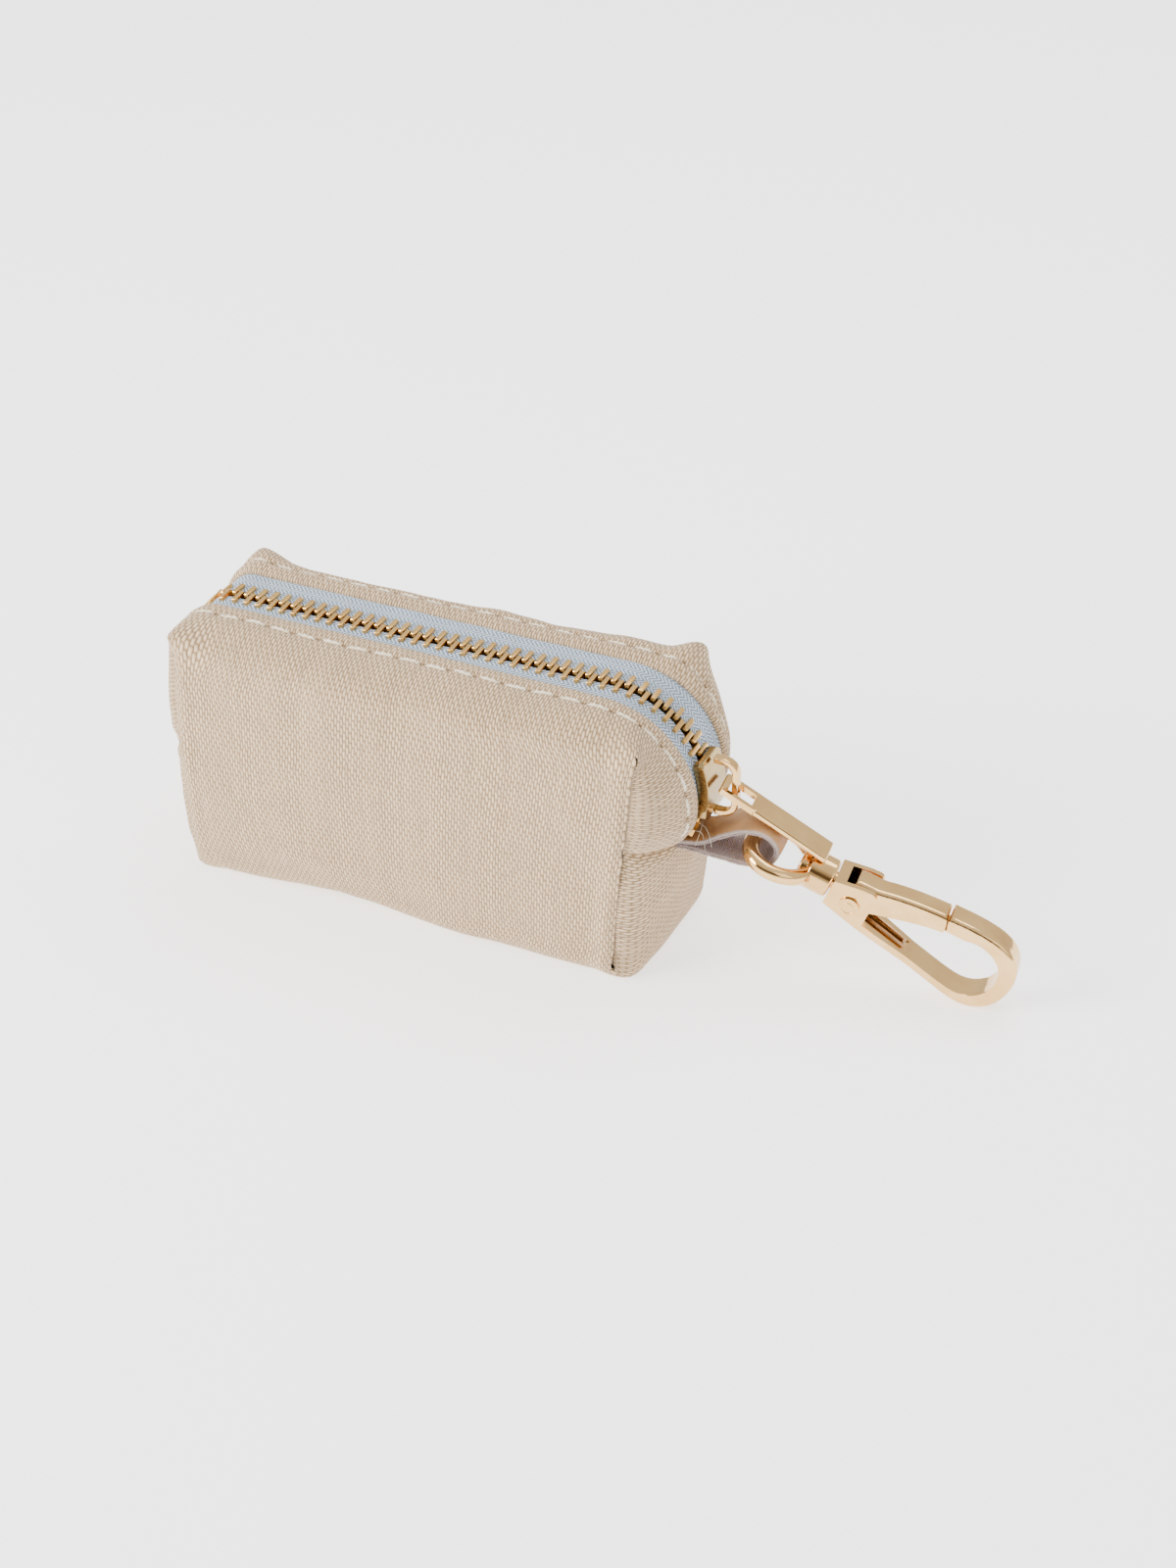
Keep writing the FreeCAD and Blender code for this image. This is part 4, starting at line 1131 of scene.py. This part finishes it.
def loop_ply(name, outer, inner, half, material, node, raw=None):
    """One ply of the loop: a strip with rounded edges that cups a little across its width."""
    route = np.array(LOOP)
    chord = np.concatenate([[0], np.cumsum(np.linalg.norm(np.diff(route, axis=0), axis=1))])
    at = np.linspace(0, chord[-1], 110)
    centre = hermite(chord, route, at)
    tangent = np.gradient(centre, axis=0)
    tangent = unit(tangent)
    inward = np.stack([tangent[:, 1], -tangent[:, 0]], axis=1)
    r = (inner - outer) / 2
    flat = half - r * 0.6
    across = [1 - k / 8.0 for k in range(17)]
    turn = np.radians([45, 90, 135])
    section = [(w * flat, outer) for w in across]
    section += [(-flat - r * math.sin(a), outer + r * (1 - math.cos(a))) for a in turn]
    section += [(-w * flat, inner) for w in across]
    section += [(flat + r * math.sin(a), inner - r * (1 - math.cos(a))) for a in turn]
    verts, uvs = [], []
    for i, (c, n) in enumerate(zip(centre, inward)):
        g = i / (len(centre) - 1)
        cup = 0.22 * math.sin(math.pi * g)
        for w, d in section:
            bend = cup * (w / half) ** 2
            edge = 0.05 * noise.noise(Vector((i * 0.35, w * 0.5, outer)))
            x, z = c + n * (d + bend)
            verts.append(np.array([PIVOT_X, 0.0, z]) + OUT * (x - PIVOT_X) + SIDE * (w * (1 + edge)))
            uvs.append((at[i], w + (12.0 if d > (outer + inner) / 2 else 0.0)))
    m = len(section)
    faces = []
    for i in range(len(centre) - 1):
        for k in range(m):
            j = (k + 1) % m
            faces.append((i * m + k, i * m + j, (i + 1) * m + j, (i + 1) * m + k))
    faces.append(tuple(range(m))[::-1])
    faces.append(tuple((len(centre) - 1) * m + k for k in range(m)))
    ob = mesh_object(name, verts, faces, uvs)
    face_outward(ob)
    dress(ob, material)
    if raw is not None:
        ob.data.materials.append(raw)
        place = [f.index % m for f in ob.data.polygons]
        ob.data.polygons.foreach_set("material_index", [int(16 <= k < 20 or k >= 36) for k in place])
    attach(ob, "pouch")
    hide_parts(node)
    return ob


loop_ply("loop_leather", 0.0, 0.6, 4.1, LEATHER, "strap_leather", RAW_EDGE)


def fibres():
    """Hair-thin loose fibres that hang from the end seam over the loop."""
    verts, faces = [], []
    hairs = (
        [(50.2, -3.2, 26.4), (51.4, -3.9, 27.2), (52.8, -3.6, 26.9), (53.6, -4.2, 25.4), (53.9, -4.6, 24.0)],
        [(50.4, -1.5, 26.8), (51.8, -2.4, 27.9), (53.4, -3.4, 28.1), (54.6, -4.3, 27.0), (55.2, -4.8, 25.2)],
        [(50.0, 0.6, 26.9), (51.6, -0.6, 27.6), (52.4, -2.2, 27.9), (52.6, -4.0, 27.0), (52.2, -4.9, 24.9)],
    )
    for points in hairs:
        line = sampled(points, 26)
        v, fc = tube(line, [0.035] * len(line), 5)
        base = len(verts)
        verts.extend(v)
        faces.extend([tuple(base + k for k in face) for face in fc])
    ob = mesh_object("loose_fibres", verts, faces)
    dress(ob, THREAD)
    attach(ob, "pouch")


fibres()
loop_ply("loop_backing", 0.6, 0.95, 4.0, BACKING, "strap_backing")


# ---- metal parts kept from the CAD

def finish_metal(node, material, bevel):
    ob = NODES[node]
    weld = ob.modifiers.new("weld", "WELD")
    weld.merge_threshold = 2e-6
    if bevel:
        b = ob.modifiers.new("edge", "BEVEL")
        b.width = bevel * MM
        b.segments = 3
        b.limit_method = "ANGLE"
        b.angle_limit = math.radians(38)
        b.harden_normals = False
    w = ob.modifiers.new("normals", "WEIGHTED_NORMAL")
    w.keep_sharp = False
    for i in range(len(ob.data.materials)):
        ob.data.materials[i] = material
    if not ob.data.materials:
        ob.data.materials.append(material)


for node, bevel in (
    ("slider_crown", 0.2), ("pull_tab", 0.28), ("swivel_ring", 0.08), ("swivel_pin", 0.1),
    ("hook_body", 0.32), ("gate", 0.28), ("gate_rivet", 0.1),
):
    finish_metal(node, PLATE, bevel)
finish_metal("slider_body", SHADED, 0.2)
for node in ("top_stops", "bottom_stop"):
    finish_metal(node, BRASS, 0.12)
finish_metal("gate_spring", SPRING, 0.0)


# ---- floor, light, camera

def floor_material():
    g = Graph("floor_pale")
    g.bsdf.inputs["Base Color"].default_value = (0.93, 0.93, 0.93, 1.0)
    g.bsdf.inputs["Roughness"].default_value = 0.9
    g.bsdf.inputs["Emission Color"].default_value = (1.0, 1.0, 1.0, 1.0)
    g.bsdf.inputs["Emission Strength"].default_value = 1.5
    g.bsdf.inputs["Specular IOR Level"].default_value = 0.1
    return g.mat


floor_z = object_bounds()[0][2]
FLOOR = 60.0
corners = [(-FLOOR, -FLOOR, 0), (FLOOR, -FLOOR, 0), (FLOOR, FLOOR, 0), (-FLOOR, FLOOR, 0)]
floor = mesh_object("floor", corners, [(0, 1, 2, 3)], scale=1.0)
floor.location.z = min(0.0, floor_z) - 0.00015
dress(floor, floor_material())

world = bpy.data.worlds.new("studio")
bpy.context.scene.world = world
world.use_nodes = True
wt = world.node_tree
bg = wt.nodes["Background"]
coord = wt.nodes.new("ShaderNodeTexCoord")
split = wt.nodes.new("ShaderNodeSeparateXYZ")
wt.links.new(coord.outputs["Generated"], split.inputs[0])
ramp = wt.nodes.new("ShaderNodeValToRGB")
ramp.color_ramp.elements[0].position = 0.05
ramp.color_ramp.elements[0].color = (0.86, 0.85, 0.83, 1)
ramp.color_ramp.elements[1].position = 0.5
ramp.color_ramp.elements[1].color = (1.0, 0.99, 0.97, 1)
wt.links.new(split.outputs[2], ramp.inputs[0])


def world_range(socket, values):
    n = wt.nodes.new("ShaderNodeMapRange")
    wt.links.new(socket, n.inputs[0])
    for i, value in enumerate(values):
        n.inputs[i + 1].default_value = value
    return n.outputs[0]


def world_product(a, b):
    n = wt.nodes.new("ShaderNodeMath")
    n.operation = "MULTIPLY"
    wt.links.new(a, n.inputs[0])
    wt.links.new(b, n.inputs[1])
    return n.outputs[0]


# The studio is dark in front, in a band above the horizon, for the metal to reflect
in_front = world_range(split.outputs[1], (-0.15, -0.6, 0.0, 0.95))
below = world_range(split.outputs[2], (0.45, 0.8, 1.0, 0.0))
above = world_range(split.outputs[2], (0.14, 0.26, 0.0, 1.0))
both = world_product(in_front, world_product(above, below))
blend = wt.nodes.new("ShaderNodeMix")
blend.data_type = "RGBA"
wt.links.new(both, blend.inputs[0])
wt.links.new(ramp.outputs[0], blend.inputs[6])
blend.inputs[7].default_value = (0.06, 0.04, 0.02, 1.0)
wt.links.new(blend.outputs[2], bg.inputs[0])
bg.inputs[1].default_value = 1.15

centre = Vector((0.02, 0.0, 0.025))


def area(name, place, size, power, colour):
    data = bpy.data.lights.new(name, "AREA")
    data.shape = "RECTANGLE"
    data.size, data.size_y = size
    data.energy = power
    data.color = colour
    ob = bpy.data.objects.new(name, data)
    link(ob)
    ob.location = place
    ob.rotation_euler = (centre - Vector(place)).to_track_quat("-Z", "Y").to_euler()


area("key", (-0.62, -0.62, 0.46), (0.5, 0.5), 17.0, (1.0, 0.98, 0.95))
area("fill", (0.75, -0.35, 0.45), (0.5, 0.5), 1.2, (1.0, 0.98, 0.95))
area("top", (0.1, 0.35, 0.85), (0.7, 0.5), 5.0, (1.0, 1.0, 1.0))

cam_data = bpy.data.cameras.new("camera")
cam_data.lens = 63.0
cam_data.sensor_width = 36.0
cam_data.sensor_fit = "AUTO"
cam_data.clip_start = 0.01
cam = bpy.data.objects.new("camera", cam_data)
link(cam)
right = Vector((0.9135, 0.4067, 0.0)).normalized()
back = Vector((0.3372, -0.7574, 0.5592)).normalized()
up = back.cross(right)
turned = Matrix((right, up, back)).transposed().to_4x4()
cam.matrix_world = Matrix.Translation((0.19277, -0.36623, 0.29897)) @ turned
bpy.context.scene.camera = cam
